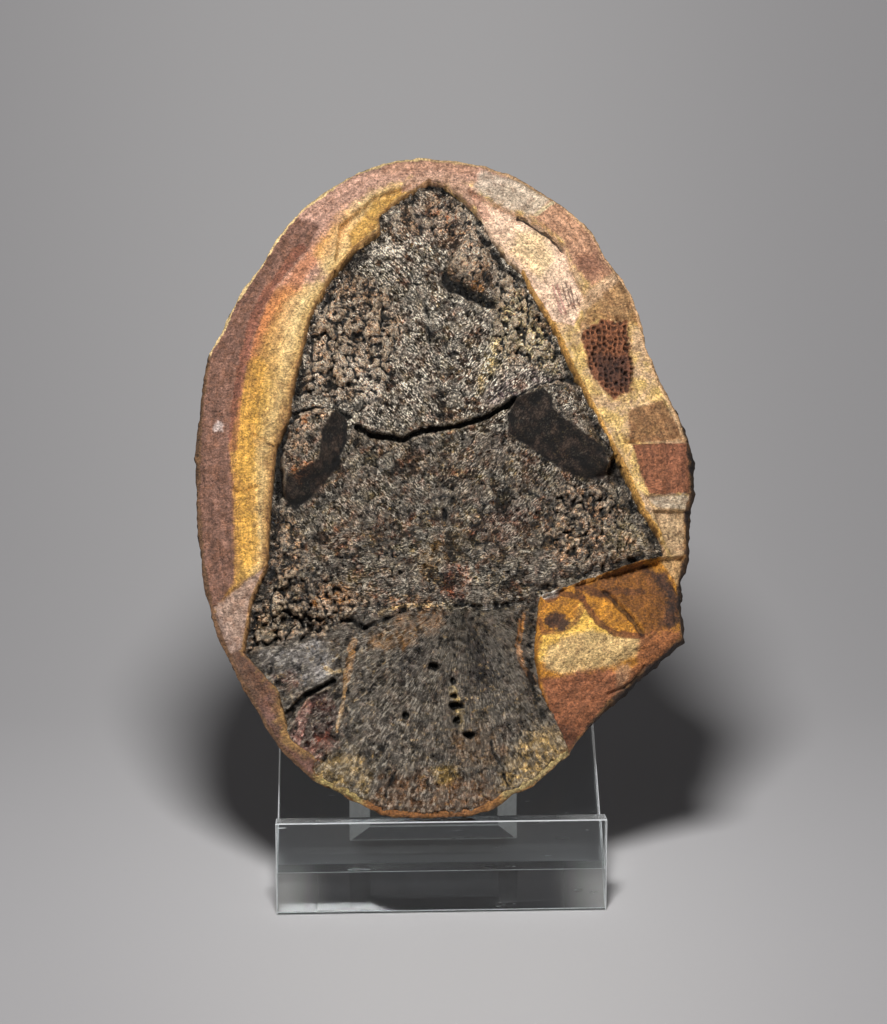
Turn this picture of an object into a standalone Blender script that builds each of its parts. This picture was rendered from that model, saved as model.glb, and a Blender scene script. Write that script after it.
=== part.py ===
"""Half of a split ironstone nodule with an amphibian skull on its face, resting on a folded acrylic easel.

The front faces -Y, +Z is up, and the middle of the whole thing stands over the origin.
The stone is laid out in the plane of its split face: a runs to the right, b up along the face from
the tip that rests on the easel's lip, and h out of the face, all in millimetres.
"""

import math

import bmesh
import bpy
import numpy as np
from mathutils import Matrix

MM = 0.001

# Easel sheet: a lip in front, a sharp fold, and a backrest that leans back
SHEET_WIDTH = 70.0
SHEET_THICKNESS = 4.0
LIP_HEIGHT = 20.0
CREASE_HEIGHT = 8.24
BACKREST_LEAN = math.radians(40.0)
BACKREST_LENGTH = 85.0

# Strut: an upright block behind the backrest, bevelled round its front face
STRUT_WIDTH = 39.6
STRUT_DEPTH = 8.0
STRUT_SETBACK = 46.0
STRUT_BEVEL_WIDTH = 4.6
STRUT_BEVEL_DEPTH = 4.0
CUTTER_SIZE = 240.0

# Stone
FACE_LEAN = math.radians(20.0)
TIP_SETBACK = 0.7
TIP_HEIGHT = 20.8
DOME_DEPTH = 28.8
DOME_SHARPNESS, TOP_FULLNESS = 0.64, 0.12
GIRDLE_DEPTH = 8.0
GIRDLE_BULGE = 3.4
MIDDLE = (0.0, 70.0)
TOUCH_GAP = 0.3

# Grid that the stone is shaped from, and how much of it is kept
CELLS_ACROSS, CELLS_UP, CELLS_DEEP = 84, 112, 12
KEPT_SHARE = 0.2

FACE_OUTLINE = [
    (-0.5, 147.7), (10.9, 146.3), (19.9, 142.9), (28.9, 136.9), (35.5, 130.5), (39.8, 122.6),
    (44.1, 116.2), (46.1, 109.6), (47.0, 103.8), (50.0, 94.5), (53.2, 88.7), (55.2, 82.0),
    (55.9, 70.0), (54.5, 65.5), (54.0, 57.0), (52.6, 50.5), (51.8, 44.0), (52.2, 37.5),
    (48.2, 33.9), (42.1, 29.0), (36.3, 24.0), (32.3, 19.5), (29.0, 15.5), (27.4, 12.5),
    (24.3, 11.3), (20.4, 8.0), (14.6, 5.1), (10.1, 2.4), (6.2, 0.7), (-0.4, 0.0), (-6.5, 0.1),
    (-13.2, 1.9), (-20.6, 6.8), (-27.5, 8.8), (-34.5, 15.2), (-38.1, 21.1), (-43.7, 31.0),
    (-48.7, 42.5), (-51.2, 55.6), (-52.3, 70.0), (-52.0, 86.9), (-49.6, 100.6), (-46.5, 106.1),
    (-43.5, 113.1), (-38.9, 120.1), (-34.4, 127.6), (-29.7, 133.5), (-21.6, 139.5),
    (-16.6, 143.1), (-8.7, 146.5),
]
# The skull's edge in the stone; along the bottom it runs past the rim, where bone meets the break
SKULL_OUTLINE = [
    (-0.6, 142.4), (2.6, 141.7), (7.5, 137.6), (11.1, 133.6), (13.4, 129.0), (17.0, 123.8),
    (20.1, 121.0), (21.6, 117.2), (26.1, 109.2), (28.4, 103.8), (30.7, 98.3), (34.5, 89.5),
    (40.3, 77.4), (45.4, 65.6), (48.7, 60.5), (50.3, 55.8), (44.1, 54.5), (31.9, 50.6),
    (22.3, 47.2), (20.6, 35.0), (21.7, 26.5), (27.4, 13.8), (34.0, 4.0), (15.0, -7.0),
    (-15.0, -7.0), (-33.0, 3.0), (-26.1, 12.3), (-32.0, 16.6), (-34.8, 27.3), (-42.1, 35.3),
    (-40.4, 46.8), (-37.0, 54.2), (-36.6, 65.7), (-35.4, 79.8), (-32.3, 87.7), (-31.2, 95.7),
    (-27.9, 110.0), (-22.8, 120.1), (-17.6, 126.4), (-12.0, 130.2), (-12.4, 134.5),
    (-5.1, 139.3),
]
# Level of the bone along its middle line, as (b, h): deep under the rim at the snout, a step down
# at the back edge of the skull roof, and a fan that swells out below it
SKULL_LEVELS = [
    (-8.0, -1.4), (0.0, -0.5), (8.0, 0.3), (20.0, 0.8), (30.0, -0.1), (40.0, -1.8), (45.0, -3.4),
    (46.5, -1.0), (55.0, -0.6), (70.0, -0.8), (84.0, -1.0), (100.0, -1.2), (115.0, -1.8),
    (125.0, -2.8), (133.0, -4.0), (142.0, -5.4),
]
SKULL_SIDE_DROP = 1.5
SKULL_HALF_WIDTH = 36.0

# Broken facets of the stone round the skull: outline, level at its middle, slope along a and b
STONE_FACETS = [
    ("yellow step", [(-21.0, 131.4), (-12.8, 138.6), (-4.7, 141.0), (-9.2, 137.6), (-13.8, 130.4),
                     (-22.1, 123.3)], -1.3, 0.0, 0.05),
    ("grey patch", [(9.0, 139.0), (11.0, 144.0), (19.0, 142.3), (27.2, 137.3), (23.1, 133.6),
                    (17.0, 134.5)], 0.7, 0.02, 0.0),
    ("cream slope", [(8.0, 140.0), (19.0, 134.0), (25.1, 131.2), (29.5, 126.4), (31.0, 120.0),
                     (34.0, 114.0), (31.0, 108.0), (26.1, 109.2), (20.1, 121.0),
                     (13.4, 129.0)], -0.9, 0.06, -0.02),
    ("brown facet", [(23.1, 133.6), (27.3, 137.6), (33.8, 132.6), (40.5, 121.0), (35.3, 116.7),
                     (30.5, 122.6), (29.1, 127.4)], 1.0, -0.08, -0.02),
    ("olive facet", [(33.0, 112.5), (40.6, 119.8), (45.0, 113.0), (46.0, 108.0), (37.3, 109.7),
                     (32.5, 107.0)], 0.1, -0.04, 0.22),
    ("upper right", [(41.5, 88.3), (50.3, 91.0), (55.0, 81.4), (41.9, 80.6)], 0.6, -0.03, 0.12),
    ("red facet", [(41.9, 80.6), (55.6, 81.0), (55.9, 69.6), (45.5, 68.8)], 0.9, -0.04, 0.06),
    ("grey ledge", [(45.5, 68.8), (55.6, 69.4), (54.4, 65.6), (47.8, 65.6)], 0.3, 0.0, -0.35),
    ("peach hollow", [(47.4, 65.6), (54.4, 65.6), (53.9, 56.9), (50.5, 55.6)], -0.9, 0.0, 0.0),
    ("lower hollow", [(47.9, 55.1), (53.6, 55.5), (52.6, 47.0), (50.6, 46.0)], -1.5, 0.05, 0.0),
    ("pink facet", [(-49.0, 45.3), (-37.2, 54.0), (-40.4, 46.8), (-42.3, 36.0), (-46.0, 34.0)],
     -0.3, 0.05, 0.04),
]
WEDGE = [
    (22.3, 47.2), (31.9, 50.6), (47.9, 55.1), (52.0, 47.0), (56.0, 38.0), (42.0, 24.0),
    (29.0, 10.0), (21.7, 26.5), (20.6, 35.0),
]
WEDGE_CREST = [(16.0, 30.5), (58.0, 38.5)]
WEDGE_HEIGHT, WEDGE_RISE, WEDGE_FALL = 2.2, 0.27, 0.30

# Flanges that stand out of the skull: the ridge, the foot of the steep face below it, and the
# outline of the whole slab
LEFT_RIDGE = [(-22.2, 88.1), (-24.9, 83.6), (-25.8, 76.8), (-29.3, 74.8), (-32.7, 72.8)]
LEFT_FOOT = [(-19.8, 87.9), (-19.4, 82.4), (-22.7, 74.8), (-27.1, 69.5), (-31.2, 66.4),
             (-33.6, 69.5)]
LEFT_SLAB = [(-34.5, 78.0), (-32.8, 86.0), (-29.0, 88.5), (-22.2, 89.2)] + LEFT_FOOT
RIGHT_RIDGE = [(17.4, 90.3), (23.4, 92.3), (25.2, 90.9), (25.5, 87.9), (28.3, 85.4),
               (36.4, 79.5), (37.3, 76.5)]
RIGHT_FOOT = [(37.4, 73.6), (32.0, 73.5), (27.6, 75.2), (22.2, 79.3), (16.2, 83.7), (16.0, 87.4)]
RIGHT_SLAB = [(17.0, 91.0), (26.8, 95.5), (32.5, 95.0), (36.7, 86.8), (39.6, 78.5)] + RIGHT_FOOT
LEFT_FLANGE_HEIGHT, RIGHT_FLANGE_HEIGHT = 5.6, 6.2
FLANGE_REACH = 12.0

# Cracks, grooves and ridges on the bone: path, width and height
BONE_LINES = [
    ("crack left", [(-32.0, 89.3), (-26.2, 89.9), (-20.9, 89.0), (-18.6, 87.0)], 1.6, -1.6),
    ("crack right", [(-17.4, 84.9), (-11.3, 84.0), (-7.7, 82.8), (-3.8, 84.6), (4.6, 85.3),
                     (11.8, 88.0), (17.4, 91.0), (24.1, 94.4), (34.7, 96.2)], 2.0, -2.4),
    ("middle ridge", [(-0.9, 118.0), (0.4, 100.4)], 2.2, 0.7),
    ("middle groove", [(0.6, 98.0), (2.1, 65.2), (3.1, 55.2), (4.6, 46.5)], 2.6, -0.7),
    ("snout arc", [(-9.0, 131.5), (-2.0, 133.3), (5.0, 132.6), (10.0, 129.5)], 2.6, 1.0),
    ("back crevice left", [(-36.5, 41.0), (-30.5, 41.6), (-23.9, 42.2), (-18.7, 43.9)], 3.0, -1.6),
    ("back crevice right", [(2.2, 44.6), (11.1, 45.2), (18.8, 46.0)], 2.2, -0.9),
    ("fan ridge", [(5.0, 42.0), (4.9, 27.0), (4.0, 12.0)], 2.4, 0.6),
    ("fan groove", [(6.8, 41.0), (15.0, 25.0)], 2.2, -0.7),
    ("vein", [(-20.2, 36.8), (-21.3, 29.3), (-22.4, 16.5)], 1.8, 0.6),
    ("pit row", [(3.4, 29.6), (4.6, 24.0), (4.9, 17.3)], 2.6, -1.8),
    ("shell crack", [(-33.8, 17.0), (-32.6, 22.5), (-27.3, 27.3)], 1.8, -1.8),
    ("wedge crack", [(38.8, 45.5), (41.5, 41.7), (43.7, 38.4)], 1.5, -1.0),
    ("rim crack", [(18.0, 134.6), (25.1, 131.0), (29.9, 125.4)], 1.6, -0.9),
    ("snout crack", [(-18.6, 134.6), (-13.2, 138.6), (-10.5, 140.3)], 1.8, -1.1),
]
# Single lumps and pits: middle, half width, half height, height
BONE_LUMPS = [
    ("boss top", (9.6, 124.5), 4.6, 5.0, 3.6),
    ("boss foot", (6.6, 120.4), 3.4, 2.6, 1.7),
    ("boss side", (16.6, 116.2), 3.2, 3.0, 1.4),
    ("snout left lump", (-7.5, 135.0), 3.0, 2.6, 1.3),
    ("left lump", (-14.0, 113.0), 4.0, 2.6, 1.2),
    ("left knob", (-9.9, 112.2), 1.9, 1.7, 1.1),
    ("nostril", (-11.2, 137.0), 1.6, 1.4, -2.0),
    ("middle pit", (4.0, 73.1), 1.8, 1.2, -0.9),
    ("palate pit", (2.1, 65.4), 1.4, 2.0, -1.2),
    ("fan pit", (-0.5, 31.9), 1.6, 1.6, -1.6),
    ("small pit", (-7.9, 21.2), 1.1, 1.6, -1.1),
    ("left swell", (-28.0, 56.0), 7.0, 8.0, 0.9),
    ("right swell", (31.0, 61.0), 8.0, 7.0, 0.9),
    ("lower left swell", (-29.0, 35.0), 8.0, 4.0, 1.0),
]
PURPLE_SLAB = [(11.6, 88.4), (10.7, 92.3), (13.3, 97.6), (17.6, 102.7), (22.0, 99.5), (26.8, 94.8),
               (21.0, 92.3), (16.5, 90.5)]
# Patches of knobbly crust on the bone: outline, size of a knob, height
CRUST_PATCHES = [
    ([(14.0, 121.0), (20.0, 120.0), (27.0, 106.0), (29.0, 98.0), (20.0, 99.0), (14.0, 103.0),
      (12.5, 113.0)], 3.4, 1.3),
    ([(-27.0, 116.0), (-20.0, 122.0), (-11.0, 118.0), (-8.0, 108.0), (-12.0, 92.0), (-20.0, 90.5),
      (-29.5, 92.0), (-28.5, 104.0)], 4.0, 1.2),
    ([(-10.0, 138.0), (-3.0, 141.5), (5.0, 139.0), (13.0, 130.0), (10.0, 128.0),
      (-10.0, 130.0)], 3.0, 0.7),
    ([(32.0, 106.6), (37.3, 109.7), (43.4, 109.9), (44.6, 97.5), (43.7, 92.2), (39.2, 91.3),
      (34.7, 96.4)], 3.0, -1.0),
]

SHUFFLE = np.random.RandomState(11).permutation(256)


def clear_scene():
    for old in list(bpy.data.objects):
        bpy.data.objects.remove(old, do_unlink=True)


def make_collection(name):
    collection = bpy.data.collections.new(name)
    bpy.context.scene.collection.children.link(collection)
    return collection


def make_material(name, colour, roughness, transmission=0.0, ior=1.45):
    material = bpy.data.materials.new(name)
    material.use_nodes = True
    shader = material.node_tree.nodes["Principled BSDF"]
    shader.inputs["Base Color"].default_value = (*colour, 1.0)
    shader.inputs["Roughness"].default_value = roughness
    shader.inputs["Metallic"].default_value = 0.0
    shader.inputs["Transmission Weight"].default_value = transmission
    shader.inputs["IOR"].default_value = ior
    return material


def smooth_step(value, low, high):
    share = np.clip((value - low) / (high - low), 0.0, 1.0)
    return share * share * (3.0 - 2.0 * share)


def path_distance(a, b, path):
    """How far each point is from a path of straight runs."""
    nearest = np.full(a.shape, np.inf)
    for (a0, b0), (a1, b1) in zip(path, path[1:]):
        run_a, run_b = a1 - a0, b1 - b0
        along = ((a - a0) * run_a + (b - b0) * run_b) / (run_a**2 + run_b**2)
        along = np.clip(along, 0.0, 1.0)
        gap = np.hypot(a - a0 - along * run_a, b - b0 - along * run_b)
        nearest = np.minimum(nearest, gap)
    return nearest


def depth_inside(a, b, outline):
    """Distance to a closed outline, positive inside it and negative outside."""
    closed = outline + outline[:1]
    inside = np.zeros(a.shape, bool)
    for (a0, b0), (a1, b1) in zip(closed, closed[1:]):
        if b0 == b1:
            continue
        crosses = (b0 > b) != (b1 > b)
        inside ^= crosses & (a < a0 + (b - b0) * (a1 - a0) / (b1 - b0))
    return np.where(inside, 1.0, -1.0) * path_distance(a, b, closed)


def lattice_noise(a, b, cell, seed):
    """Smooth noise between about -1 and 1, with a swell or a dip every cell or so."""
    column, row = np.floor(a / cell).astype(int), np.floor(b / cell).astype(int)
    across, up = a / cell - column, b / cell - row

    def corner(step_a, step_b):
        turn = SHUFFLE[(SHUFFLE[(column + step_a + seed) & 255] + row + step_b) & 255]
        angle = turn * (2.0 * math.pi / 256)
        return np.cos(angle) * (across - step_a) + np.sin(angle) * (up - step_b)

    ease_a = across * across * (3.0 - 2.0 * across)
    ease_b = up * up * (3.0 - 2.0 * up)
    low = corner(0, 0) * (1.0 - ease_a) + corner(1, 0) * ease_a
    high = corner(0, 1) * (1.0 - ease_a) + corner(1, 1) * ease_a
    return 1.5 * (low * (1.0 - ease_b) + high * ease_b)


def layered_noise(a, b, cell, layers, seed):
    total = np.zeros(a.shape)
    for layer in range(layers):
        total += lattice_noise(a, b, cell / 2**layer, seed + 17 * layer) / 2**layer
    return total


def knobs(a, b, cell, seed):
    """Round knobs, one in each cell at a shifted place: 1 on a knob's top, 0 between knobs."""
    column, row = np.floor(a / cell).astype(int), np.floor(b / cell).astype(int)
    nearest = np.full(a.shape, np.inf)
    for step_a in (-1, 0, 1):
        for step_b in (-1, 0, 1):
            first = SHUFFLE[(SHUFFLE[(column + step_a + seed) & 255] + row + step_b) & 255]
            second = SHUFFLE[(first + 71) & 255]
            top_a = (column + step_a + 0.15 + 0.7 * first / 255) * cell
            top_b = (row + step_b + 0.15 + 0.7 * second / 255) * cell
            nearest = np.minimum(nearest, np.hypot(a - top_a, b - top_b))
    return 1.0 - smooth_step(nearest, 0.0, 0.62 * cell)


def flange(a, b, ridge, foot, slab, height):
    """A slab that rises slowly to its ridge and falls from there in one steep face."""
    to_ridge, to_foot = path_distance(a, b, ridge), path_distance(a, b, foot)
    face = height * to_foot / (to_ridge + to_foot + 1e-6)
    back = height * np.clip(1.0 - to_ridge / FLANGE_REACH, 0.0, 1.0)
    steep = depth_inside(a, b, ridge + foot) > 0.0
    return np.where(steep, face, back) * smooth_step(depth_inside(a, b, slab), 0.0, 1.4)


def stone_level(a, b):
    """The stone round the skull: a rim that rises inwards, with the broken facets set in it."""
    from_edge = depth_inside(a, b, FACE_OUTLINE)
    level = 0.2 + 0.8 * smooth_step(from_edge, 0.0, 9.0)
    level += 0.35 * layered_noise(a, b, 9.0, 3, 5)
    for _, outline, height, slope_a, slope_b in STONE_FACETS:
        middle_a, middle_b = np.mean(outline, axis=0)
        plane = height + slope_a * (a - middle_a) + slope_b * (b - middle_b)
        share = smooth_step(depth_inside(a, b, outline), -0.5, 0.5)
        level += share * (plane + 0.15 * layered_noise(a, b, 5.0, 2, 9) - level)
    (a0, b0), (a1, b1) = WEDGE_CREST
    from_crest = b - (b0 + (a - a0) * (b1 - b0) / (a1 - a0))
    roof = WEDGE_HEIGHT - np.where(from_crest > 0, WEDGE_RISE, -WEDGE_FALL) * from_crest
    roof += 0.35 * layered_noise(a, b, 7.0, 3, 21)
    share = smooth_step(depth_inside(a, b, WEDGE), -0.6, 0.6)
    return level + share * (roof - level)


def bone_level(a, b):
    """The skull: its middle line, lower towards its sides, with flanges, lumps and cracks."""
    line_b, line_h = np.transpose(SKULL_LEVELS)
    wavy = b + 0.8 * lattice_noise(a, b, 9.0, 3) - 0.05 * a
    level = np.interp(wavy, line_b, line_h) - SKULL_SIDE_DROP * (a / SKULL_HALF_WIDTH) ** 2
    level += 0.55 * layered_noise(a, b, 11.0, 3, 31)
    for outline, cell, height in CRUST_PATCHES:
        share = smooth_step(depth_inside(a, b, outline), -1.5, 1.5)
        level += share * height * knobs(a, b, cell, 40)
    slab = smooth_step(depth_inside(a, b, PURPLE_SLAB), -0.5, 0.5)
    level += 1.4 * slab
    for _, (mid_a, mid_b), half_a, half_b, height in BONE_LUMPS:
        off = np.hypot((a - mid_a) / half_a, (b - mid_b) / half_b)
        level += height * (1.0 - smooth_step(off, 0.25, 1.15))
    left = flange(a, b, LEFT_RIDGE, LEFT_FOOT[::-1], LEFT_SLAB, LEFT_FLANGE_HEIGHT)
    right = flange(a, b, RIGHT_RIDGE, RIGHT_FOOT, RIGHT_SLAB, RIGHT_FLANGE_HEIGHT)
    return level + left + right


def face_level(a, b):
    """Height of the split face over its flat plane."""
    in_skull = depth_inside(a, b, SKULL_OUTLINE)
    share = smooth_step(in_skull, -0.6, 1.8)
    trench = 0.6 * np.exp(-np.abs(in_skull - 2.2) / 1.6)
    level = stone_level(a, b) * (1.0 - share) + (bone_level(a, b) - trench) * share
    for _, path, width, height in BONE_LINES:
        level += height * (1.0 - smooth_step(path_distance(a, b, path), 0.0, width))
    return level


def rim_radius(angle):
    """Distance from the middle of the face to its rim, in the direction of an angle."""
    across, up = np.transpose(FACE_OUTLINE) - np.array(MIDDLE)[:, None]
    angles = np.arctan2(up, across)
    order = np.argsort(angles)
    radius = np.interp(angle, angles[order], np.hypot(across, up)[order], period=2.0 * math.pi)
    chips = layered_noise(radius * np.cos(angle), radius * np.sin(angle), 7.0, 2, 51)
    return radius + 0.35 * chips


def girdle_bulge(angle):
    """How far the side swells past the rim: most at the right and below, where it shows."""
    right = smooth_step(angle, math.radians(-75), math.radians(-45))
    right *= 1.0 - smooth_step(angle, math.radians(8), math.radians(24))
    return 0.9 + (GIRDLE_BULGE - 0.9) * right


def shape_stone(u, v, w):
    """Moves points of a cube from -1 to 1 (front at v = -1) to the stone's face, side and back."""
    disk_a = u * np.sqrt(1.0 - w * w / 2.0)
    disk_b = w * np.sqrt(1.0 - u * u / 2.0)
    ring, angle = np.hypot(disk_a, disk_b), np.arctan2(disk_b, disk_a)
    front = v < -1.0 + 1e-6
    back = v > 1.0 - 1e-6
    turn = (v + 1.0) / 2.0
    side_end = 0.6
    spread = np.cos(turn * math.acos(side_end))
    spread = np.where(back, ring * side_end, np.where(front, ring, spread))
    rim = rim_radius(angle)
    a = MIDDLE[0] + spread * rim * np.cos(angle)
    b = MIDDLE[1] + spread * rim * np.sin(angle)
    h = np.zeros(a.shape)
    h[front] = face_level(a[front], b[front])

    rest = ~front
    edge_a = MIDDLE[0] + rim[rest] * np.cos(angle[rest])
    edge_b = MIDDLE[1] + rim[rest] * np.sin(angle[rest])
    edge = face_level(edge_a, edge_b) * (1.0 - turn[rest]) ** 2
    power = DOME_SHARPNESS - TOP_FULLNESS * np.sin(angle[rest])
    depth = DOME_DEPTH * (1.0 - spread[rest] ** 2) ** power
    swell = girdle_bulge(angle[rest]) * (depth / GIRDLE_DEPTH) * np.exp(1.0 - depth / GIRDLE_DEPTH)
    rough = smooth_step(depth, 0.5, 5.0)
    bumps = layered_noise(a[rest] + 2.0 * depth, b[rest] - depth, 24.0, 4, 61)
    a[rest] += (swell + 0.9 * rough * bumps) * np.cos(angle[rest])
    b[rest] += (swell + 0.9 * rough * bumps) * np.sin(angle[rest])
    h[rest] = edge - depth + 0.9 * rough * bumps
    return a, b, h


def make_stone(material, parent, collection):
    """The nodule half: a cube cut into a fine grid, shaped, then thinned where it is plain."""
    bm = bmesh.new()
    bmesh.ops.create_cube(bm, size=2.0)
    for axis, cells in ((0, CELLS_ACROSS), (2, CELLS_UP), (1, CELLS_DEEP)):
        along = [e for e in bm.edges if abs(e.verts[0].co[axis] - e.verts[1].co[axis]) > 1e-4]
        bmesh.ops.subdivide_edges(bm, edges=along, cuts=cells - 1, use_grid_fill=True)
    mesh = bpy.data.meshes.new("skull_nodule")
    bm.to_mesh(mesh)
    bm.free()

    points = np.empty(3 * len(mesh.vertices))
    mesh.vertices.foreach_get("co", points)
    u, v, w = points.reshape(-1, 3).T
    a, b, h = shape_stone(u, v, w)
    mesh.vertices.foreach_set("co", (np.column_stack((a, -h, b)) * MM).ravel())
    mesh.update()
    mesh.materials.append(material)

    stone = bpy.data.objects.new("skull_nodule", mesh)
    collection.objects.link(stone)
    stone.parent = parent
    stone.location = (0.0, TIP_SETBACK * MM, TIP_HEIGHT * MM)
    stone.rotation_euler = (-FACE_LEAN, 0.0, 0.0)
    thin = stone.modifiers.new("thin out", "DECIMATE")
    thin.decimate_type = "COLLAPSE"
    thin.ratio = KEPT_SHARE
    thin.use_collapse_triangulate = True
    return stone


def sheet_profile():
    """Side view of the folded sheet as (back, up): the lip, the crease, the backrest and its foot."""
    along = (math.sin(BACKREST_LEAN), math.cos(BACKREST_LEAN))
    across = (math.cos(BACKREST_LEAN), -math.sin(BACKREST_LEAN))
    crease = (SHEET_THICKNESS, CREASE_HEIGHT)
    top_front = tuple(c + BACKREST_LENGTH * s for c, s in zip(crease, along))
    top_back = tuple(c + SHEET_THICKNESS * s for c, s in zip(top_front, across))
    foot_back = top_back[0] - top_back[1] * math.tan(BACKREST_LEAN)
    return [
        (0.0, 0.0), (0.0, LIP_HEIGHT), (SHEET_THICKNESS, LIP_HEIGHT), crease, top_front, top_back,
        (foot_back, 0.0),
    ]


def make_sheet(material, parent, collection):
    """The easel sheet: its side view as a flat outline, drawn out to the sheet's width."""
    curve = bpy.data.curves.new("easel_sheet", "CURVE")
    curve.dimensions = "2D"
    curve.fill_mode = "BOTH"
    curve.extrude = SHEET_WIDTH * MM / 2.0
    curve.materials.append(material)
    spline = curve.splines.new("POLY")
    profile = sheet_profile()
    spline.points.add(len(profile) - 1)
    for point, (back, up) in zip(spline.points, profile):
        point.co = (back * MM, up * MM, 0.0, 1.0)
    spline.use_cyclic_u = True

    sheet = bpy.data.objects.new("easel_sheet", curve)
    collection.objects.link(sheet)
    sheet.parent = parent
    sheet.rotation_euler = (math.pi / 2.0, 0.0, math.pi / 2.0)
    weld = sheet.modifiers.new("weld caps", "WELD")
    weld.merge_threshold = 0.00001
    return sheet


def make_strut(material, parent, collection, cutters):
    """The strut: a block bevelled round its front, cut off along the backrest at the top."""
    lean = BACKREST_LEAN
    back_line = sheet_profile()[-1][0]
    top_at = (STRUT_SETBACK + STRUT_DEPTH - back_line) / math.tan(lean)
    height = top_at + 2.0 * STRUT_BEVEL_WIDTH
    body_depth = STRUT_DEPTH - STRUT_BEVEL_DEPTH

    mesh = bpy.data.meshes.new("rear_strut")
    bm = bmesh.new()
    bmesh.ops.create_cube(bm, size=1.0)
    scale = Matrix.Diagonal((STRUT_WIDTH, body_depth, height, 1.0))
    shift = Matrix.Translation(
        (0.0, STRUT_SETBACK + STRUT_BEVEL_DEPTH + body_depth / 2.0, height / 2.0)
    )
    bmesh.ops.transform(bm, matrix=Matrix.Scale(MM, 4) @ shift @ scale, verts=bm.verts)
    bm.faces.ensure_lookup_table()
    front = [f for f in bm.faces if f.normal.y < -0.9]
    bmesh.ops.inset_region(bm, faces=front, thickness=STRUT_BEVEL_WIDTH * MM)
    for vert in front[0].verts:
        vert.co.y -= STRUT_BEVEL_DEPTH * MM
    bm.to_mesh(mesh)
    bm.free()
    mesh.materials.append(material)
    strut = bpy.data.objects.new("rear_strut", mesh)
    collection.objects.link(strut)
    strut.parent = parent

    cutter_mesh = bpy.data.meshes.new("strut_top_cutter")
    bm = bmesh.new()
    bmesh.ops.create_cube(bm, size=CUTTER_SIZE * MM)
    lift = Matrix.Translation((0.0, (TOUCH_GAP - CUTTER_SIZE / 2.0) * MM, 0.0))
    line = Matrix.Translation((0.0, back_line * MM, 0.0)) @ Matrix.Rotation(-lean, 4, "X")
    bmesh.ops.transform(bm, matrix=line @ lift, verts=bm.verts)
    bm.to_mesh(cutter_mesh)
    bm.free()
    cutter = bpy.data.objects.new("strut_top_cutter", cutter_mesh)
    cutters.objects.link(cutter)
    cutter.parent = parent
    cutter.hide_render = True
    cutter.display_type = "WIRE"
    cut = strut.modifiers.new("cut to backrest", "BOOLEAN")
    cut.operation = "DIFFERENCE"
    cut.solver = "EXACT"
    cut.object = cutter
    return strut


def centre_over_origin(root, pieces):
    """Moves everything so that the middle of its box stands over the origin."""
    bpy.context.view_layer.update()
    graph = bpy.context.evaluated_depsgraph_get()
    corners = []
    for piece in pieces:
        evaluated = piece.evaluated_get(graph)
        mesh = evaluated.to_mesh()
        corners += [evaluated.matrix_world @ vert.co for vert in mesh.vertices]
        evaluated.to_mesh_clear()
    for axis in (0, 1):
        values = [corner[axis] for corner in corners]
        root.location[axis] = -(min(values) + max(values)) / 2.0


def main():
    clear_scene()
    parts = make_collection("fossil_amphibian_skull")
    cutters = make_collection("cutters")
    stone_material = make_material("ironstone", (0.16, 0.12, 0.09), 0.6)
    acrylic_material = make_material("clear_acrylic", (0.94, 0.96, 0.97), 0.06, 1.0, 1.49)
    root = bpy.data.objects.new("display", None)
    parts.objects.link(root)
    pieces = [
        make_stone(stone_material, root, parts),
        make_sheet(acrylic_material, root, parts),
        make_strut(acrylic_material, root, parts, cutters),
    ]
    centre_over_origin(root, pieces)


main()
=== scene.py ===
import math

import bmesh
import bpy
import numpy as np
from mathutils import Matrix, Vector


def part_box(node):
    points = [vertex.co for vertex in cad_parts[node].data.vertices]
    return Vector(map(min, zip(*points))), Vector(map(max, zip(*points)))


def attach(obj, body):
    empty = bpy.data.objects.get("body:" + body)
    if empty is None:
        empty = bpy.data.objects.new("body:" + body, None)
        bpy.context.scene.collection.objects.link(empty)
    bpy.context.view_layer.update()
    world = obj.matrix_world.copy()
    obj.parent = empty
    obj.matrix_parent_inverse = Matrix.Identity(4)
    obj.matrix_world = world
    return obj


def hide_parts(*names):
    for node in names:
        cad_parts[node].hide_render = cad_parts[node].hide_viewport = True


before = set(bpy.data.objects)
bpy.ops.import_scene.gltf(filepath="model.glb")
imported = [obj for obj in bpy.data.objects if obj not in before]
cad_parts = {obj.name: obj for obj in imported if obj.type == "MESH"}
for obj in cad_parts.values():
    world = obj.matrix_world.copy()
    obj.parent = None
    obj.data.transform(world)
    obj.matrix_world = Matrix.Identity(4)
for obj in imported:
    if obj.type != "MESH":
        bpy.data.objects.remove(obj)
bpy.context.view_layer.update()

mm = 0.001
shuffle = np.random.RandomState(11).permutation(256)

# The easel's own corner of the frame: middle of the foot of its front edge
sheetLow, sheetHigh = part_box("easel_sheet")
standPlace = Vector(((sheetLow.x + sheetHigh.x) / 2.0, sheetLow.y, 0.0))


# A place on the split face is a to the right, b up along it and h out of it, in millimetres
faceSettings = {
    "lean": 20.0,      # degrees
    "tipSetback": 0.7, "tipHeight": 20.8,
    "middle": (0.0, 70.0), "width": 110.0,
    "domeDepth": 28.8, "domeSharpness": 0.64, "topFullness": 0.12,
    "girdleDepth": 8.0, "leastBulge": 0.9, "girdleBulge": 3.4,
    "rimChips": 0.35, "rimNicks": 0.16,
    "backBumps": 0.9, "backCrust": 0.34,
}
faceTurn = Matrix.Rotation(math.radians(-faceSettings["lean"]), 4, "X")
faceMove = Matrix.Translation(
    standPlace + Vector((0.0, faceSettings["tipSetback"], faceSettings["tipHeight"])) * mm)
facePlace = faceMove @ faceTurn

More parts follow.
